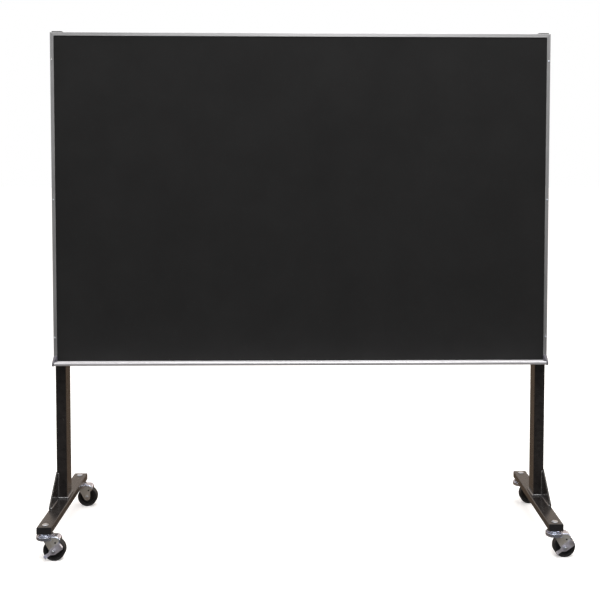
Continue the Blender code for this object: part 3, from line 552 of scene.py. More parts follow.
powder_coat = coat("black powder coat", (0.0185, 0.0160, 0.0153), 0.23, 420.0, 0.00010, 0.5)
weld_coat = coat("black powder coat, weld", (0.016, 0.015, 0.017), 0.18, 300.0, 0.00010, 0.0,
                 Specular_IOR_Level=1.0, IOR=1.8)
black_plug = coat("black moulded plastic", (0.014, 0.013, 0.014), 0.42, 1500.0, 0.00006, 0.15)
wheel_black = coat("black wheel plastic", (0.013, 0.013, 0.014), 0.36, 900.0, 0.00005, 0.25)
cap_plastic = coat("grey moulded plastic", (0.105, 0.100, 0.120), 0.42, 1300.0, 0.00006, 0.1)

# %% [markdown]
# The tyre is soft black rubber. It is duller than the hub, and floor dust greys its tread.

# %% Finish: rubber
rubber, shader, coords = new_finish("tyre rubber", 0.62, Specular_IOR_Level=0.35)
smudge = use(marks_group, coords, Size=45.0, Dust_Size=1200.0)["Smudge"]
skin = noise(coords, 900.0, 3.0)
colour = blend(remap(skin, 0.3, 0.7), (0.009, 0.009, 0.010), (0.018, 0.017, 0.017))
feed(shader, Base_Color=blend(times(smudge, 0.22), colour, (0.085, 0.08, 0.075)),
     Roughness=remap(smudge, 0.0, 1.0, 0.55, 0.78), Normal=bump(skin, 0.00008, 0.5))

# %% [markdown]
# The casters' pressed steel is bright zinc or chrome plating. Pressing leaves faint flow lines, and the
# plating bath leaves patches that are a little warmer. The flat faces of the fork legs and of the lever
# get a duller, less metallic copy that shows brighter than their mirror image would: partly a satin
# finish, partly painted light.


# %% Finish: plated steel
def plated(name, base, warm, roughness, wear, metallic=1.0):
    """Bright plating with patches, fine lines and rubbed edges."""
    finish, shader, coords = new_finish(name, roughness, metallic)
    grain = use(grain_group, coords, Across=1400.0, Along=90.0)
    marks = use(marks_group, coords, Size=60.0, Dust_Size=1100.0)
    patch = noise(coords, 48.0, 4.0, Distortion=0.8)
    colour = blend(remap(patch, 0.42, 0.68), base, warm)
    colour = blend(use(wear_group, coords, Amount=wear)["Worn"], colour, (0.86, 0.85, 0.83))
    rough = remap(grain["Lines"], 0.3, 0.7, roughness - 0.03, roughness + 0.05)
    feed(shader, Base_Color=blend(times(marks["Dust"], 0.5), colour, (0.12, 0.10, 0.08)),
         Roughness=plus(rough, times(marks["Smudge"], 0.10)), Normal=bump(grain["Lines"], 0.00002, 0.4))
    return finish


chrome = plated("bright plating", (0.74, 0.79, 0.93), (0.68, 0.68, 0.76), 0.12, 0.5)
# The flat fork legs get a duller, less metallic copy of the plating, so they show brighter than their
# mirror image would: partly a satin finish, partly painted light.
leg_plating_painted_light = plated("satin plating, painted light", (0.55, 0.535, 0.505), (0.47, 0.43, 0.37), 0.36, 0.6, 0.55)
# The lever's flat faces get a duller, less metallic copy that shows brighter than chrome would: partly a
# satin finish, partly painted light.
lever_plating_painted_light = plated("satin plating, painted light, lever", (0.64, 0.62, 0.70), (0.55, 0.52, 0.54), 0.34, 0.5, 0.6)
zinc = plated("zinc plating", (0.66, 0.70, 0.78), (0.60, 0.60, 0.60), 0.27, 0.4)

# %% [markdown]
# ## The board
# The frame is a thin channel, cut at 45 degrees in the corners. A bar gets rounded edges, is
# hollowed with a second bar, and bisect trims both ends along the mitre. The rounding comes first,
# so the mitre itself stays a crisp line.

# %% Frame rails
RAIL_FACE = 0.0127
RAIL_WALL = 0.0016
RAIL_ROUND = 0.0007
RAIL_MOUTH = 0.002
MITRE_GAP = 0.0003
BAR_SPARE, HOLLOW_SPARE = 0.004, 0.01
SCREW_ROOM = 0.0023
frame_low = Vector((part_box("rail_left")[0].x, board_front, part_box("rail_bottom")[0].z))
frame_high = Vector((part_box("rail_right")[1].x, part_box("rail_top")[1].y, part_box("rail_top")[1].z))


def screw_hole(piece, node, radius, start, end):
    """Bore a level hole through a piece where a screw passes."""
    spot = middle(node)
    drill(piece, radius, start, end, (spot.x, 0, spot.z), (-90, 0, 0), 24)


print("frame", neat(frame_high - frame_low))

# %% Four mitred rails
rails = {}
for name, axis, at in (("top", 2, 1), ("bottom", 2, -1), ("left", 0, -1), ("right", 0, 1)):
    along = 2 - axis
    low, high = frame_low.copy(), frame_high.copy()
    inner, outer = (low, high) if at > 0 else (high, low)
    inner[axis] = outer[axis] - at * RAIL_FACE
    hole_low, hole_high = low.copy(), high.copy()
    hole_inner, hole_outer = (hole_low, hole_high) if at > 0 else (hole_high, hole_low)
    hole_inner[axis] -= at * RAIL_MOUTH
    hole_outer[axis] -= at * RAIL_WALL
    hole_low.y, hole_high.y = low.y + RAIL_WALL, high.y - RAIL_WALL
    hole_low[along], hole_high[along] = low[along] - HOLLOW_SPARE, high[along] + HOLLOW_SPARE
    low[along], high[along] = low[along] - BAR_SPARE, high[along] + BAR_SPARE
    rail = block(f"frame_rail_{name}", low, high)
    round_edges(rail, RAIL_ROUND)
    combine(rail, block("hollow", hole_low, hole_high))
    for end, limit in ((-1, frame_low), (1, frame_high)):
        corner, normal = Vector(), Vector()
        corner[axis], corner[along] = outer[axis], limit[along] - end * MITRE_GAP
        normal[axis], normal[along] = -at, end
        pick_all(rail)
        bpy.ops.mesh.bisect(plane_co=corner, plane_no=normal, use_fill=True, clear_outer=True)
        leave()
    rails[name] = rail
for name in SIDES:
    for row in ROWS:
        screw_hole(rails[name], f"board_screw_{name}_{row}", SCREW_ROOM, -0.05, 0.01)
for name, rail in rails.items():
    shade(rail)
    # Level rails take the lighter copy, upright rails the darker one: painted light and painted shade.
    material = rail_upright_painted_shade if name in SIDES else rail_level_painted_light
    hand_over(rail, "stand", "frame_aluminium", material, f"rail_{name}")

# %% [markdown]
# Only the flat layers inside the frame and the keys in its corners keep their CAD solids: their
# shape is already right, so each just gets its finish.

# %% Layers and corner keys
refinished = {"face_sheet": cloth, "cork_sheet": cork, "core_board": fibreboard}
refinished.update({f"corner_key_{level}_{side}": zinc for level in ("bottom", "top") for side in SIDES})
for name, material in refinished.items():
    for part in nodes[name].material_slots:
        part.material = material
print("refinished", len(refinished), "solids")

# %% [markdown]
# Pan-head screws hold the side rails and the tray. The head is a turned disc with a rounded
# shoulder. Two crossed blocks are cut out of it for the driver's cross recess.

# %% Screws
HEAD_RADIUS = 0.0034
HEAD_HEIGHT = 0.002
HEAD_SEAT = 0.0004


def arc(centre_r, centre_h, radius, start, end, steps):
    """Points on an arc, as (radius, height), between two angles in degrees."""
    angles = [math.radians(start + (end - start) * i / steps) for i in range(steps + 1)]
    return [(centre_r + radius * math.cos(a), centre_h + radius * math.sin(a)) for a in angles]


def dome(radius, base, rise, end=80, steps=8):
    """A low round top, from its rim towards its middle."""
    return [(r, base + h * rise) for r, h in ((radius * c, s) for c, s in arc(0, 0, 1, 0, end, steps))]


def pan_screw(name, shank, length):
    """A pan-head screw along Y, its head towards the viewer and its seat at the origin."""
    profile = [(shank * 0.5, -length), (shank, -length + 0.0015), (shank, 0), (HEAD_RADIUS, 0),
               *dome(HEAD_RADIUS, HEAD_SEAT, HEAD_HEIGHT - HEAD_SEAT, 84, 9)]
    screw = turned(name, profile, steps=32)
    for wide, deep in ((0.62, 0.17), (0.17, 0.62)):
        reach = Vector((HEAD_RADIUS * wide, HEAD_RADIUS * deep, 0))
        combine(screw, block("slot", Vector((0, 0, HEAD_HEIGHT * 0.42)) - reach,
                             Vector((0, 0, HEAD_HEIGHT * 2)) + reach))
    lay(screw, (90, 20, 0))
    shade(screw)
    return screw


# %% Setting the screws
board_screw = pan_screw("board_screw", 0.002, 0.034)
tray_screw = pan_screw("tray_screw", 0.0018, 0.011)
for model, names in ((board_screw, [f"board_screw_{side}_{row}" for side in SIDES for row in ROWS]),
                     (tray_screw, [f"tray_screw_{side}" for side in SIDES])):
    for name in names:
        seat = (middle(name).x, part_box(name)[0].y + HEAD_HEIGHT, middle(name).z)
        hand_over(copy_of(model, f"{name}_detail", seat), "stand", "zinc", zinc, name)
    print(model.name, "set", len(names), "times")
    bpy.data.objects.remove(model)

# %% [markdown]
# The pin tray is one extrusion: a flange against the rail, a thin floor and a lip with a round
# front. Its outline is drawn once and extruded along the board. Drilled holes follow.

# %% Tray
TRAY_WALL = 0.002
TRAY_FLANGE = 0.016
TRAY_FILLET = 0.002
LIP_WALL = 0.0036
LIP_RISE = 0.0065
LIP_DROP = 0.0035
LIP_BULGE = 0.002
LIP_EDGE = 0.0005
tray_low, tray_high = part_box("tray")
front_y, back_y = tray_low.y, tray_high.y
inner_y = front_y + LIP_WALL
floor_z = tray_low.z + TRAY_FLANGE
under_z = floor_z - TRAY_WALL
lip_top, lip_low = floor_z + LIP_RISE, under_z - LIP_DROP
lip_half = (lip_top - lip_low) / 2


def side_plate(name, outline, start, end):
    """A plate whose outline is drawn in Y, counted forwards, and Z, between two places in X."""
    return lay(plate(name, outline, start, end), (0, 0, -90))


lip_radius = (lip_half ** 2 + LIP_BULGE ** 2) / (2 * LIP_BULGE)
spread = math.degrees(math.asin((lip_half - LIP_EDGE) / lip_radius))
lip_front = arc(-front_y - lip_radius, lip_low + lip_half, lip_radius, spread, -spread, 20)
top_edge = arc(lip_front[0][0] - LIP_EDGE, lip_top - LIP_EDGE, LIP_EDGE, 90, 0, 4)
low_edge = [(y, lip_top + lip_low - z) for y, z in top_edge[::-1]]
fillet = arc(-inner_y - TRAY_FILLET, floor_z + TRAY_FILLET, TRAY_FILLET, -90, 0, 4)
outline = [(-back_y, floor_z), *fillet[:-1], (-inner_y, floor_z + TRAY_FILLET), (-inner_y, lip_top),
           *top_edge, *lip_front[1:-1], *low_edge, (-inner_y, lip_low), (-inner_y, under_z),
           (-back_y + TRAY_WALL, under_z), (-back_y + TRAY_WALL, tray_low.z), (-back_y, tray_low.z)]
tray = side_plate("pin_tray", outline, tray_low.x, tray_high.x)
print(tray.name, neat(tray.dimensions))

# %% Holes in the tray
HOLE_FROM_END = 0.0788
HOLE_FROM_BOARD = 0.0105
HOLE_RADIUS = 0.0045
TRAY_SCREW_ROOM = 0.0021
for side in SIDES:
    screw_hole(tray, f"tray_screw_{side}", TRAY_SCREW_ROOM, -0.05, 0.0)
hole_spot = (frame_high.x - HOLE_FROM_END, board_front - HOLE_FROM_BOARD, 0)
drill(tray, HOLE_RADIUS, floor_z - 0.004, floor_z + 0.002, hole_spot)
shade(tray)
hand_over(tray, "stand", "tray_aluminium", tray_lip, "tray")
# Upward faces of the floor take the paler copy: painted light from above.
second_finish(tray, tray_floor_painted_light, lambda spot, normal: normal.z > 0.9 and spot.z < floor_z + 0.001)

# %% [markdown]
# Moulded cheeks close the tray's ends. Each rises against the side rail and slopes down to a
# pinched tip over the lip. Drawn in side view, thickened, narrowed at the tip and rounded, they get
# a small moulding pin mark near the tip.

# %% Tray end caps
CAP_ROUND = 0.0018
CAP_OVER = 0.0012
CAP_TOP_LAND = 0.0034
CAP_TIP_SLOPE = 0.0036
TIP_WIDTH = 0.0062
MARK_FROM_TIP = 0.0056
cap_low, cap_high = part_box("tray_cap_left")
width = cap_high.x - cap_low.x
reach = board_front - cap_low.y
cap_top = lip_top + CAP_OVER
slope = [(-cap_high.y, cap_high.z), (-cap_high.y + CAP_TOP_LAND, cap_high.z),
         (-cap_low.y - CAP_TIP_SLOPE, cap_top), (-cap_low.y, cap_top - CAP_TIP_SLOPE),
         (-cap_low.y, lip_low - CAP_OVER), (-cap_high.y, cap_low.z)]
tray_cap = side_plate("tray_end_left", slope, cap_low.x, cap_high.x)
pick_all(tray_cap)
bpy.ops.mesh.subdivide(number_cuts=1)
leave()
for vert in tray_cap.data.vertices:
    share = max(0.0, board_front - vert.co.y) / reach
    if vert.co.x < cap_high.x - width / 4:
        vert.co.x += share * (width - TIP_WIDTH) * min(1.0, (cap_high.x - vert.co.x) / width)
round_edges(tray_cap, CAP_ROUND, 4, 25)
mark_spot = (cap_high.x - TIP_WIDTH / 2, cap_low.y + MARK_FROM_TIP, cap_top + 0.0004)
combine(tray_cap, turned("mark", [(0.0011, -0.001), (0.0013, 0.001)], steps=24, place=mark_spot))
shade(tray_cap, 30)
for cap, side in ((copy_of(tray_cap, "tray_end_right", mirror_x=True), "right"), (tray_cap, "left")):
    hand_over(cap, "stand", "cap_plastic", cap_plastic, f"tray_cap_{side}")

# %% [markdown]
# ## The stand
# Posts and feet are welded rectangular tube. Roll-formed tube has round corners, so the long edges
# of a block are beveled in several segments. Insetting an end face and pushing it through to the
# other end would leave a solid bar, so the bore is cut with a second block.

# %% Tubes
TUBE_CORNER = 0.003
POST_WALL, FOOT_WALL = 0.002, 0.0025
STEM_HOLE = 0.0063


def long_edges(axis):
    """A test for edges that run along an axis."""
    return lambda a, b: abs(a[axis] - b[axis]) > max(abs(a[i] - b[i]) for i in range(3) if i != axis) * 3


def tube(name, low, high, axis, wall):
    """A rectangular tube with round corners, open at both ends."""
    piece = block(name, low, high)
    bevel_edges(piece, long_edges(axis), TUBE_CORNER, 6)
    apart = Vector([-0.001 if i == axis else wall for i in range(3)])
    bore = block("bore", low + apart, high - apart)
    bevel_edges(bore, long_edges(axis), TUBE_CORNER - wall, 4)
    combine(piece, bore)
    return piece


# %% Posts and feet
for side in SIDES:
    post_low, post_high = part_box(f"post_cap_{side}")
    post_low.z, post_high.z = (corner.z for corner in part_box(f"post_{side}"))
    post = tube(f"post_tube_{side}", post_low, post_high, 2, POST_WALL)
    for row in ROWS:
        screw_hole(post, f"board_screw_{side}_{row}", SCREW_ROOM, -0.01, 0.01)
    foot_low, foot_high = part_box(f"foot_{side}")
    foot = tube(f"foot_tube_{side}", foot_low, foot_high, 1, FOOT_WALL)
    for end in ENDS:
        drill(foot, STEM_HOLE, foot_low.z - 0.01, foot_high.z + 0.01, corner_spots[f"{end}_{side}"])
    for piece, node in ((post, f"post_{side}"), (foot, f"foot_{side}")):
        shade(piece)
        hand_over(piece, "stand", "black_steel", powder_coat, node)

# %% [markdown]
# Moulded plugs close the tubes. The brim has a soft edge and sits flush with the tube. The body
# inside the tube is hidden, so a block with rounded edges is enough for it.

# %% Tube plugs
POST_GRIP, FOOT_GRIP = 0.0026, 0.0033
POST_BRIM, FOOT_BRIM = 0.0062, 0.0025
BRIM_ROUND = 0.0016


def plug(name, node, axis, outward, grip, brim_depth):
    """A plug: a brim with rounded edges and a smaller body inside the tube."""
    low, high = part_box(node)
    inside, outside = (high[axis], low[axis]) if outward < 0 else (low[axis], high[axis])
    seat = outside - outward * brim_depth
    apart = Vector([0 if i == axis else grip for i in range(3)])
    body_low, body_high = low + apart, high - apart
    low[axis], high[axis] = sorted((seat, outside))
    brim = block(name, low, high)
    bevel_edges(brim, long_edges(axis), TUBE_CORNER, 6)
    bevel_edges(brim, lambda a, b: near(a[axis], outside) and near(b[axis], outside),
                min(BRIM_ROUND, brim_depth * 0.55), 4)
    body_low[axis], body_high[axis] = sorted((inside, seat + outward * 0.001))
    body = block("plug_body", body_low, body_high)
    round_edges(body, 0.0006, 2)
    combine(brim, body, "UNION")
    shade(brim)
    hand_over(brim, "stand", "black_plastic", black_plug, node)


for side in SIDES:
    plug(f"post_plug_{side}", f"post_cap_{side}", 2, 1, POST_GRIP, POST_BRIM)
    for end, outward in ENDS.items():
        plug(f"foot_plug_{end}_{side}", f"foot_cap_{end}_{side}", 1, outward, FOOT_GRIP, FOOT_BRIM)

# %% [markdown]
# A triangular plate stiffens the corner between post and foot. It is a flat cut plate, so it is
# drawn in side view, given its thickness and a small rounding.

# %% Gussets
GUSSET_PLATE = 0.005
GUSSET_LAND = 0.008
for side, at in SIDES.items():
    low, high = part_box(f"gusset_{side}")
    outer = low.x if at < 0 else high.x
    back, front = -high.y, -low.y
    triangle = [(back, low.z), (front, low.z), (front, low.z + GUSSET_LAND),
                (back + GUSSET_LAND, high.z), (back, high.z)]
    gusset = side_plate(f"gusset_plate_{side}", triangle, *sorted((outer, outer - at * GUSSET_PLATE)))
    round_edges(gusset, 0.0008)
    shade(gusset)
    hand_over(gusset, "stand", "black_steel", powder_coat, f"gusset_{side}")

# %% [markdown]
# A weld bead is a row of pools that froze one over the other, so it has ripples. Here a row of
# small lumps is laid along each corner, made uneven, melted into one skin by a voxel remesh and
# smoothed. Paint lies thicker on it, so it shines more.

# %% Weld beads
POOL = 0.0050
POOL_STEP = 0.0040
POOL_OUT = 0.0007
SKIN_GRAIN = 0.0006
GUSSET_BEAD = 0.092
PLATE_GAP, TUBE_GAP, TIP_GAP = 0.004, 0.0045, 0.009


def merge(piece, *others):
    """Join other meshes into a piece without a Boolean."""
    only(piece)
    for other in others:
        other.select_set(True)
    bpy.ops.object.join()
    return piece


def weld_bead(name, runs):
    """Rippled weld metal along runs of (start, end, the outward sense of the two faces)."""
    beads = []
    for start, end, outward in (map(Vector, run) for run in runs):
        count = round((end - start).length / POOL_STEP) + 1
        rest()
        bpy.ops.mesh.primitive_ico_sphere_add(subdivisions=3, radius=POOL,
                                              location=start + outward * POOL_OUT)
        beads.append(settle("bead"))
        apply(beads[-1], "ARRAY", count=count, use_relative_offset=False, use_constant_offset=True,
              constant_offset_displace=(end - start) / (count - 1))
    weld = merge(*beads)
    weld.name = weld.data.name = name
    uneven = bpy.data.textures.new("uneven", "CLOUDS")
    uneven.noise_scale = 0.009
    apply(weld, "DISPLACE", texture=uneven, texture_coords="GLOBAL", strength=0.0016, mid_level=0.5)
    apply(weld, "REMESH", mode="VOXEL", voxel_size=SKIN_GRAIN, use_smooth_shade=True)
    apply(weld, "SMOOTH", factor=0.5, iterations=2)
    hand_over(weld, "stand", "black_steel", weld_coat)
    print(name, len(weld.data.polygons), "faces")


# %% Beads round the posts and gussets
for side, at in SIDES.items():
    tube_low, tube_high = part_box(f"post_cap_{side}")
    inner_x, outer_x = (tube_high.x, tube_low.x) if at < 0 else (tube_low.x, tube_high.x)
    plate_x = outer_x - at * GUSSET_PLATE
    front_y, rear_y = tube_low.y, tube_high.y
    _, tip_y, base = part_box(f"gusset_{side}")[0]
    weld_bead(f"post_weld_{side}",
              [((plate_x - at * PLATE_GAP, front_y, base), (inner_x, front_y, base), (0, -1, 1)),
               ((inner_x, front_y - 0.001, base), (inner_x, rear_y + 0.001, base), (-at, 0, 1)),
               ((inner_x, rear_y, base), (outer_x - at * TUBE_GAP, rear_y, base), (0, 1, 1))])
    weld_bead(f"gusset_weld_{side}",
              [((plate_x, front_y, base), (plate_x, tip_y + TIP_GAP, base), (-at, 0, 1)),
               ((plate_x, front_y, base), (plate_x, front_y, base + GUSSET_BEAD), (-at, -1, 0))])

# %% [markdown]
# ## The casters
# One caster is modelled round its own swivel axis at X = 0, Y = 0 and then copied to the four
# corners. The bearing race is a pressed dish, turned from its profile. A ball is spun round the
# axis as copies to make the row that shows in the gap below.

# %% Race and balls
BALL, BALL_ROW, BALL_HEIGHT, BALLS = 0.0025, 0.021, 0.0874, 24
race_profile = [(0.0063, 0.0963), *arc(0.0186, 0.0949, 0.0014, 90, 0, 4), (0.0200, 0.0926),
                *arc(0.0208, 0.0926, 0.0008, 180, 270, 3), *arc(0.0263, 0.0906, 0.0012, 90, -90, 6),
                (0.0255, 0.0893), (0.0063, 0.0893)]
race = turned("bearing_race", race_profile, ring=True)
rest()
bpy.ops.mesh.primitive_uv_sphere_add(segments=16, ring_count=10, radius=BALL,
                                     location=(BALL_ROW, 0, BALL_HEIGHT))
balls = settle("balls")
pick_all(balls)
bpy.ops.mesh.spin(steps=BALLS, dupli=True, angle=math.radians(360), center=(0, 0, 0), axis=(0, 0, 1))
bpy.ops.mesh.select_all(action="SELECT")
bpy.ops.mesh.remove_doubles(threshold=0.00005)
face_outwards()
shade(balls, 60)
shade(race)
merge(race, balls)

# %% [markdown]
# The stem bolt has a low domed head on top of the foot and a nut inside the fork. Its profile runs
# from the threaded tail up to the dome.

# %% Stem bolt
HEAD_BASE = 0.1223
NUT_LOW, NUT_HIGH = 0.0746, 0.0811


def round_nut(radius, low, high):
    """A hexagon nut with both ends chamfered on the corners."""
    nut = turned("nut", [(radius, low), (radius, high)], steps=6)
    rim = radius * 0.9
    drop = (radius - rim) * 0.75
    wide = radius * 1.02
    chamfer = [(rim, low), (wide, low + drop), (wide, high - drop), (rim, high)]
    combine(nut, turned("chamfer", chamfer, steps=48), "INTERSECT")
    round_edges(nut, 0.0002, 2)
    return nut


def thread(radius, start, pitch, turns):
    """The crests and roots of a fine thread."""
    return [point for i in range(turns)
            for point in ((radius, start + i * pitch), (radius - 0.0003, start + (i + 0.5) * pitch))]


stem = turned("stem_bolt", [(0.0050, 0.0726), *thread(0.0060, 0.0732, 0.0003, 4), (0.0060, 0.0745),
                            (0.0060, HEAD_BASE), (0.0112, HEAD_BASE), (0.0115, HEAD_BASE + 0.0004),
                            *dome(0.0115, HEAD_BASE + 0.0010, 0.0018)], steps=48)
combine(stem, round_nut(0.0095, NUT_LOW, NUT_HIGH), "UNION")
shade(stem)

# %% [markdown]
# The fork is pressed from one sheet: two legs, a hood over the wheel and a crown with a deep round
# collar. A block with a wide bevel at its top front edge and small ones along its sides has the
# bends of the sheet. The same block, one wall smaller, is taken out of the inside. A plate in the
# shape of the side view trims both legs at once, and a last round cut clears the collar where the
# wheel passes.

# %% Fork: the bent sheet
AXLE = Vector((0.032, 0, 0.038))
SHEET = 0.003
OUTER = 0.0204
HOOD_TOP = 0.0870
HOOD_REACH = 0.0545
HOOD_BEND = 0.016
SHEET_BACK, SHEET_FOOT = -0.012, 0.020
OUTER_BEND, INNER_BEND = 0.0042, 0.0016
THROUGH = 0.03
LEVEL_TURN = (90, 0, 0)


def bent_sheet(name, inset, side_bend):
    """A block with its top front edge and its side bends rounded, inset by a wall."""
    half, front, top = OUTER - inset, HOOD_REACH - inset, HOOD_TOP - inset
    piece = block(name, (SHEET_BACK - inset, -half, SHEET_FOOT - inset), (front, half, top))
    bevel_edges(piece, lambda a, b: near(a.x, front) and near(b.x, front) and near(a.z, top)
                and near(b.z, top), HOOD_BEND - inset, 12)
    bevel_edges(piece, lambda a, b: near(abs(a.y), half) and near(a.y, b.y)
                and max(a.z, b.z) > 0.03 and not (near(a.x, b.x) and a.x < 0), side_bend, 5)
    return piece


fork = bent_sheet("fork", 0, OUTER_BEND)
combine(fork, bent_sheet("inside", SHEET, INNER_BEND))
print("bent sheet", neat(fork.dimensions))

# %% Fork: the side view
EYE = 0.0125
HEEL = (-0.008, 0.0816)
SKIRT_INSET = 0.0016
SKIRT_LOW = 0.067
SKIRT_ROOT = 0.061
EDGE_ANGLE = 20
CLEAR = 0.002
slant = math.atan2(HEEL[1] - AXLE.z, HEEL[0] - AXLE.x)
touch = math.degrees(slant + math.acos(EYE / math.dist(HEEL, (AXLE.x, AXLE.z))))
free_edge = HOOD_TOP - HOOD_BEND * (1 - math.sin(math.radians(EDGE_ANGLE)))
side_view = [(HEEL[0], HOOD_TOP + CLEAR), HEEL, *arc(AXLE.x, AXLE.z, EYE, touch, 360, 28),
             (AXLE.x + EYE, SKIRT_ROOT), (HOOD_REACH - SKIRT_INSET, SKIRT_LOW),
             (HOOD_REACH - 0.001, free_edge), (HOOD_REACH + CLEAR, free_edge),
             (HOOD_REACH + CLEAR, HOOD_TOP + CLEAR)]
combine(fork, plate("side_view", side_view, -THROUGH, THROUGH), "INTERSECT")
print("trimmed sheet", neat(fork.dimensions))

# %% Fork: holes and crown
CROWN_SEAT, SEAT_RADIUS = 0.0836, 0.030
AXLE_HOLE, SPARE_HOLE = 0.0043, 0.0032
SPARE_OVER, SPARE_UP = 0.006, 0.028
WHEEL_ROOM = 0.0395
combine(fork, turned("seat", [(SEAT_RADIUS, CROWN_SEAT), (SEAT_RADIUS, 0.1)]))
for radius, x, z in ((AXLE_HOLE, AXLE.x, AXLE.z), (SPARE_HOLE, AXLE.x + SPARE_OVER, AXLE.z + SPARE_UP)):
    drill(fork, radius, -THROUGH, THROUGH, (x, 0, z), LEVEL_TURN, 32)
crown_profile = [(0.0065, 0.0816), *arc(0.0277, 0.0808, 0.0008, 90, 0, 3), (0.0285, 0.0751),
                 (0.0289, 0.0746), *arc(0.0290, 0.0770, 0.0024, -88, -4, 7), (0.0315, 0.0780),
                 (0.0315, 0.0864), *arc(0.0303, 0.0864, 0.0012, 8, 90, 5), (0.0291, 0.0876),
                 (0.0285, 0.0870), *arc(0.0279, 0.0852, 0.0006, 0, -90, 3), (0.0065, 0.0846)]
combine(fork, turned("crown", crown_profile, ring=True, steps=96), "UNION")
drill(fork, WHEEL_ROOM, SHEET - OUTER, OUTER - SHEET, AXLE, LEVEL_TURN, 96)
shade(fork)

# %% [markdown]
# The axle bolt clamps the legs. Over a side-lock lever the nut faces the viewer, and on a plain
# caster the low round head does.

# %% Axle bolts
LEG_FACE = OUTER + 0.0003
NUT_THICK = 0.0065
LEVER_ROOM = 0.0028


def axle_bolt(name, spacer, turn):
    """A bolt through both legs; the spacer is a lever's thickness between leg and nut."""
    nut_seat = LEG_FACE + spacer
    tail = nut_seat + NUT_THICK + 0.002
    profile = [(0.0033, -tail), *thread(0.0040, -tail + 0.0006, 0.0004, 5), (0.0040, -nut_seat),
               (0.0040, LEG_FACE), (0.0073, LEG_FACE), (0.0075, LEG_FACE + 0.0003),
               *dome(0.0075, LEG_FACE + 0.0010, 0.0014)]
    bolt = turned(name, profile, steps=40)
    combine(bolt, round_nut(0.0075, -nut_seat - NUT_THICK, -nut_seat), "UNION")
    lay(bolt, (turn, 0, 0), AXLE)
    shade(bolt)
    return bolt


lever_axle = axle_bolt("axle_bolt", LEVER_ROOM, -90)
plain_axle = axle_bolt("axle_bolt_plain", 0.0, 90)

# %% [markdown]
# The wheel has a moulded centre and a soft tyre. Both are turned, and the small steps where tyre
# and centre meet catch the thin ring of light that is seen on the real wheels.


# %% Wheel
def wheel_part(name, half, *crest):
    """A ring on the axle whose profile is drawn for one half and repeated for the other."""
    profile = [(r, -h) for r, h in half] + [*crest, *half[::-1]]
    ring = lay(turned(name, profile, ring=True, steps=72), (-90, 0, 0), AXLE)
    shade(ring, 30)
    return ring


hub = wheel_part("wheel_centre", [(0.0045, 0.0165), (0.0098, 0.0165), (0.0105, 0.0158), (0.0108, 0.0060),
                                  (0.0118, 0.0050), (0.0247, 0.0050), (0.0257, 0.0060), (0.0262, 0.0128),
                                  (0.0268, 0.0134), (0.0292, 0.0134), (0.0297, 0.0129)])
shoulder = arc(0.0345, 0.0124, 0.0035, 88, 8, 7)
tyre = wheel_part("tyre_ring", [(0.0300, 0.0140), (0.0304, 0.0144), *shoulder, (0.0380, 0.0100)],
                  (0.0380, 0))

# %% [markdown]
# The side-lock lever is a stamped strip with both ends bent out as foot tabs. Here the strip starts
# bent, and an Intersect Boolean cuts it to the lever's outline. A press cuts first and then bends.

# %% Side-lock lever
PLATE = 0.0025
REACH = 0.036
HALF_WIDTH = 0.014
BEND = 0.0034
TAB = 0.013
LEVER_HOLE = 0.0045
TIP, EYE_ROUND = 0.0065, 0.0135
WING, NECK = (0.0315, 0.0130), (-0.0180, 0.0055)
REST_TILT = -35
face_y, tab_y = LEG_FACE, LEG_FACE + TAB
right_half = [*arc(REACH - BEND, face_y + BEND, BEND, -90, 0, 6), (REACH, tab_y),
              (REACH - PLATE, tab_y), *arc(REACH - BEND, face_y + BEND, BEND - PLATE, 0, -90, 4)]
strip_view = right_half + [(-x, y) for x, y in right_half[::-1]]
lever = lay(plate("side_lock_lever", strip_view, -HALF_WIDTH, HALF_WIDTH), LEVEL_TURN)
start = math.degrees(math.atan2(WING[1], WING[0]) + math.acos(EYE_ROUND / math.hypot(*WING)))
stop = math.degrees(math.atan2(NECK[1], NECK[0]) - math.acos(EYE_ROUND / math.hypot(*NECK)))
wing_round = [(WING[0] + x, WING[1] - z) for x, z in ((0.0010, 0.0022), (0.0002, 0.0006), (-0.0012, 0))]
upper = [(REACH + 0.001, TIP - 0.001), *wing_round, *arc(0, 0, EYE_ROUND, start, stop, 10), NECK,
         (-REACH + 0.002, TIP), (-REACH - 0.001, TIP - 0.001)]
cut_view = upper + [(x, -z) for x, z in upper[::-1]]
combine(lever, plate("cut", cut_view, -tab_y - CLEAR, -face_y + CLEAR), "INTERSECT")
drill(lever, LEVER_HOLE, -THROUGH, THROUGH, turn=LEVEL_TURN, steps=32)
round_edges(lever, 0.0004, 2, 40)
lay(lever, (0, REST_TILT, 0), AXLE)
shade(lever)

# %% [markdown]
# Now each model is copied to its corners and then removed. A piece rides on the body
# that its solid belongs to: races and stem bolts on the stand, forks and axles on the caster,
# hubs and tyres on the wheel.

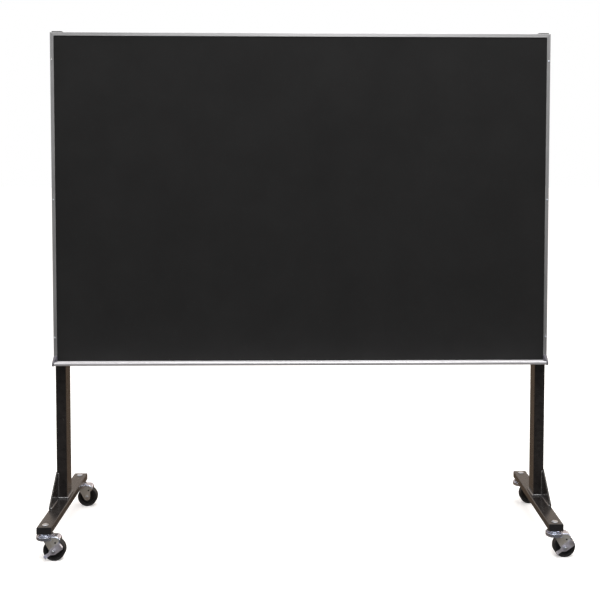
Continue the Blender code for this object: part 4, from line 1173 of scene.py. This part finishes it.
# %% Set the four casters
LEG_FLAT, LEVER_FLAT = 0.95, 0.9
COLLAR_CLEAR = 0.0800
for name, spot in corner_spots.items():
    has_lever = name.startswith("front")
    axle = lever_axle if has_lever else plain_axle
    parts = [(race, "bearing_race", "race", "stand", "chrome", chrome),
             (stem, "caster_stem", "stem_bolt", "stand", "zinc", zinc),
             (fork, "caster_fork", "fork", f"caster_{name}", "chrome", chrome),
             (axle, "wheel_bolt", "axle_bolt", f"caster_{name}", "zinc", zinc),
             (hub, "wheel_centre", "hub", f"wheel_{name}", "wheel_plastic", wheel_black),
             (tyre, "wheel_tyre", "tyre", f"wheel_{name}", "tyre", rubber)]
    if has_lever:
        parts.append((lever, "foot_lever", "brake_lever", f"lever_{name}", "chrome", chrome))
    for model, label, node, body, slot, material in parts:
        piece = copy_of(model, f"{label}_{name}", spot)
        hand_over(piece, body, slot, material, f"{node}_{name}")
        if model == fork:
            # Flat outer faces of the legs take the less metallic copy: partly satin finish, partly
            # painted light.
            second_finish(piece, leg_plating_painted_light, lambda place, normal: abs(normal.y) > LEG_FLAT
                          and place.z < COLLAR_CLEAR and near(abs(place.y - spot.y), OUTER))
        if model == lever:
            # Flat faces of the lever take the less metallic copy: partly satin finish, partly painted
            # light.
            second_finish(piece, lever_plating_painted_light, lambda place, normal: abs(normal.y) > LEVER_FLAT)
    print(name, len(parts), "pieces")
for model in (race, stem, fork, lever_axle, plain_axle, hub, tyre, lever):
    bpy.data.objects.remove(model)

# %% [markdown]
# ## Floor and light
# A plain pale floor, a white surround and four soft lights, as in a product studio. Camera rays
# see floor and surround as plain white. Light that bounces off them is dim and neutral in front of
# the board and warmer behind it, with a pale strip along the horizon, so that black paint and
# plating mirror what they mirror in the photograph.

# %% Floor
rest()
bpy.ops.mesh.primitive_plane_add(size=80, location=(0, 0, 0))
floor = settle("studio_floor")
floor_finish, shader, coords = new_finish("pale floor", 0.9, Specular_IOR_Level=0.0,
                                          Emission_Color=(1, 1, 1, 1), Emission_Strength=0.3)
feed(shader, Base_Color=blend(noise(coords, 1.5, 2.0), (0.97, 0.97, 0.97), (1.0, 1.0, 1.0)))
seen = wire("LightPath").outputs["Is Camera Ray"]
behind = remap(wire("SeparateXYZ", {0: coords}).outputs["Y"], -0.5, 0.4)
dim = wire("BsdfDiffuse", {"Color": blend(behind, (0.08, 0.08, 0.08), (0.20, 0.15, 0.11))})
pale = shader["Base Color"].node
both = wire("MixShader", {0: seen, 1: dim.outputs[0], 2: pale.outputs[0]})
fill(tree.get_output_node("ALL").inputs["Surface"], both.outputs[0])
floor.data.materials.append(floor_finish)
print("floor", floor.dimensions.x, "m wide")

# %% Surround
world = bpy.data.worlds.new("studio surround")
bpy.context.scene.world = world
world.use_nodes = True
tree = world.node_tree
tree.nodes.clear()
direction = wire("SeparateXYZ", {0: wire("TexCoord").outputs["Generated"]}).outputs
back_share = remap(direction["Y"], -0.8, 0.3)
top_share = remap(direction["Z"], 0.35, 0.95)
low_share = remap(direction["Z"], 0.10, 0.24, 1.0, 0.0)
back_wall = blend(low_share, (0.57, 0.48, 0.41), (1.15, 1.0, 0.88))
walls = blend(back_share, (0.30, 0.30, 0.30), back_wall)
room = wire("Background", {"Color": blend(top_share, walls, (1.0, 0.98, 0.96)), "Strength": 1.15})
white = wire("Background", {"Color": (1, 1, 1, 1), "Strength": 1.0})
seen = wire("LightPath").outputs["Is Camera Ray"]
both = wire("MixShader", {0: seen, 1: room.outputs[0], 2: white.outputs[0]})
wire("OutputWorld", {"Surface": both.outputs[0]})
print("surround", world.name)


# %% Lights
def soft_light(name, place, target, size, radiance):
    """A square soft light aimed at a point, with its power found from its brightness."""
    lamp = bpy.data.lights.new(name, "AREA")
    lamp.shape, lamp.size, lamp.energy = "SQUARE", size, radiance * math.pi * size * size
    piece = bpy.data.objects.new(name, lamp)
    bpy.context.scene.collection.objects.link(piece)
    piece.location = place
    piece.rotation_euler = (Vector(target) - Vector(place)).to_track_quat("-Z", "Y").to_euler()


soft_light("front softbox", (0.25, -4.6, 2.9), (0, 0, 1.4), 2.0, 1.6)
soft_light("top softbox", (0.2, -1.4, 4.2), (0, 0, 0.6), 3.0, 4.5)
for at in SIDES.values():
    soft_light("side softbox", (at * 3.8, -1.8, 1.0), (at * 0.9, -0.2, 0.2), 1.2, 3.0)
view = bpy.context.scene.view_settings
view.view_transform, view.look, view.exposure = "Standard", "None", 0.0
print("lights", len(bpy.data.lights))
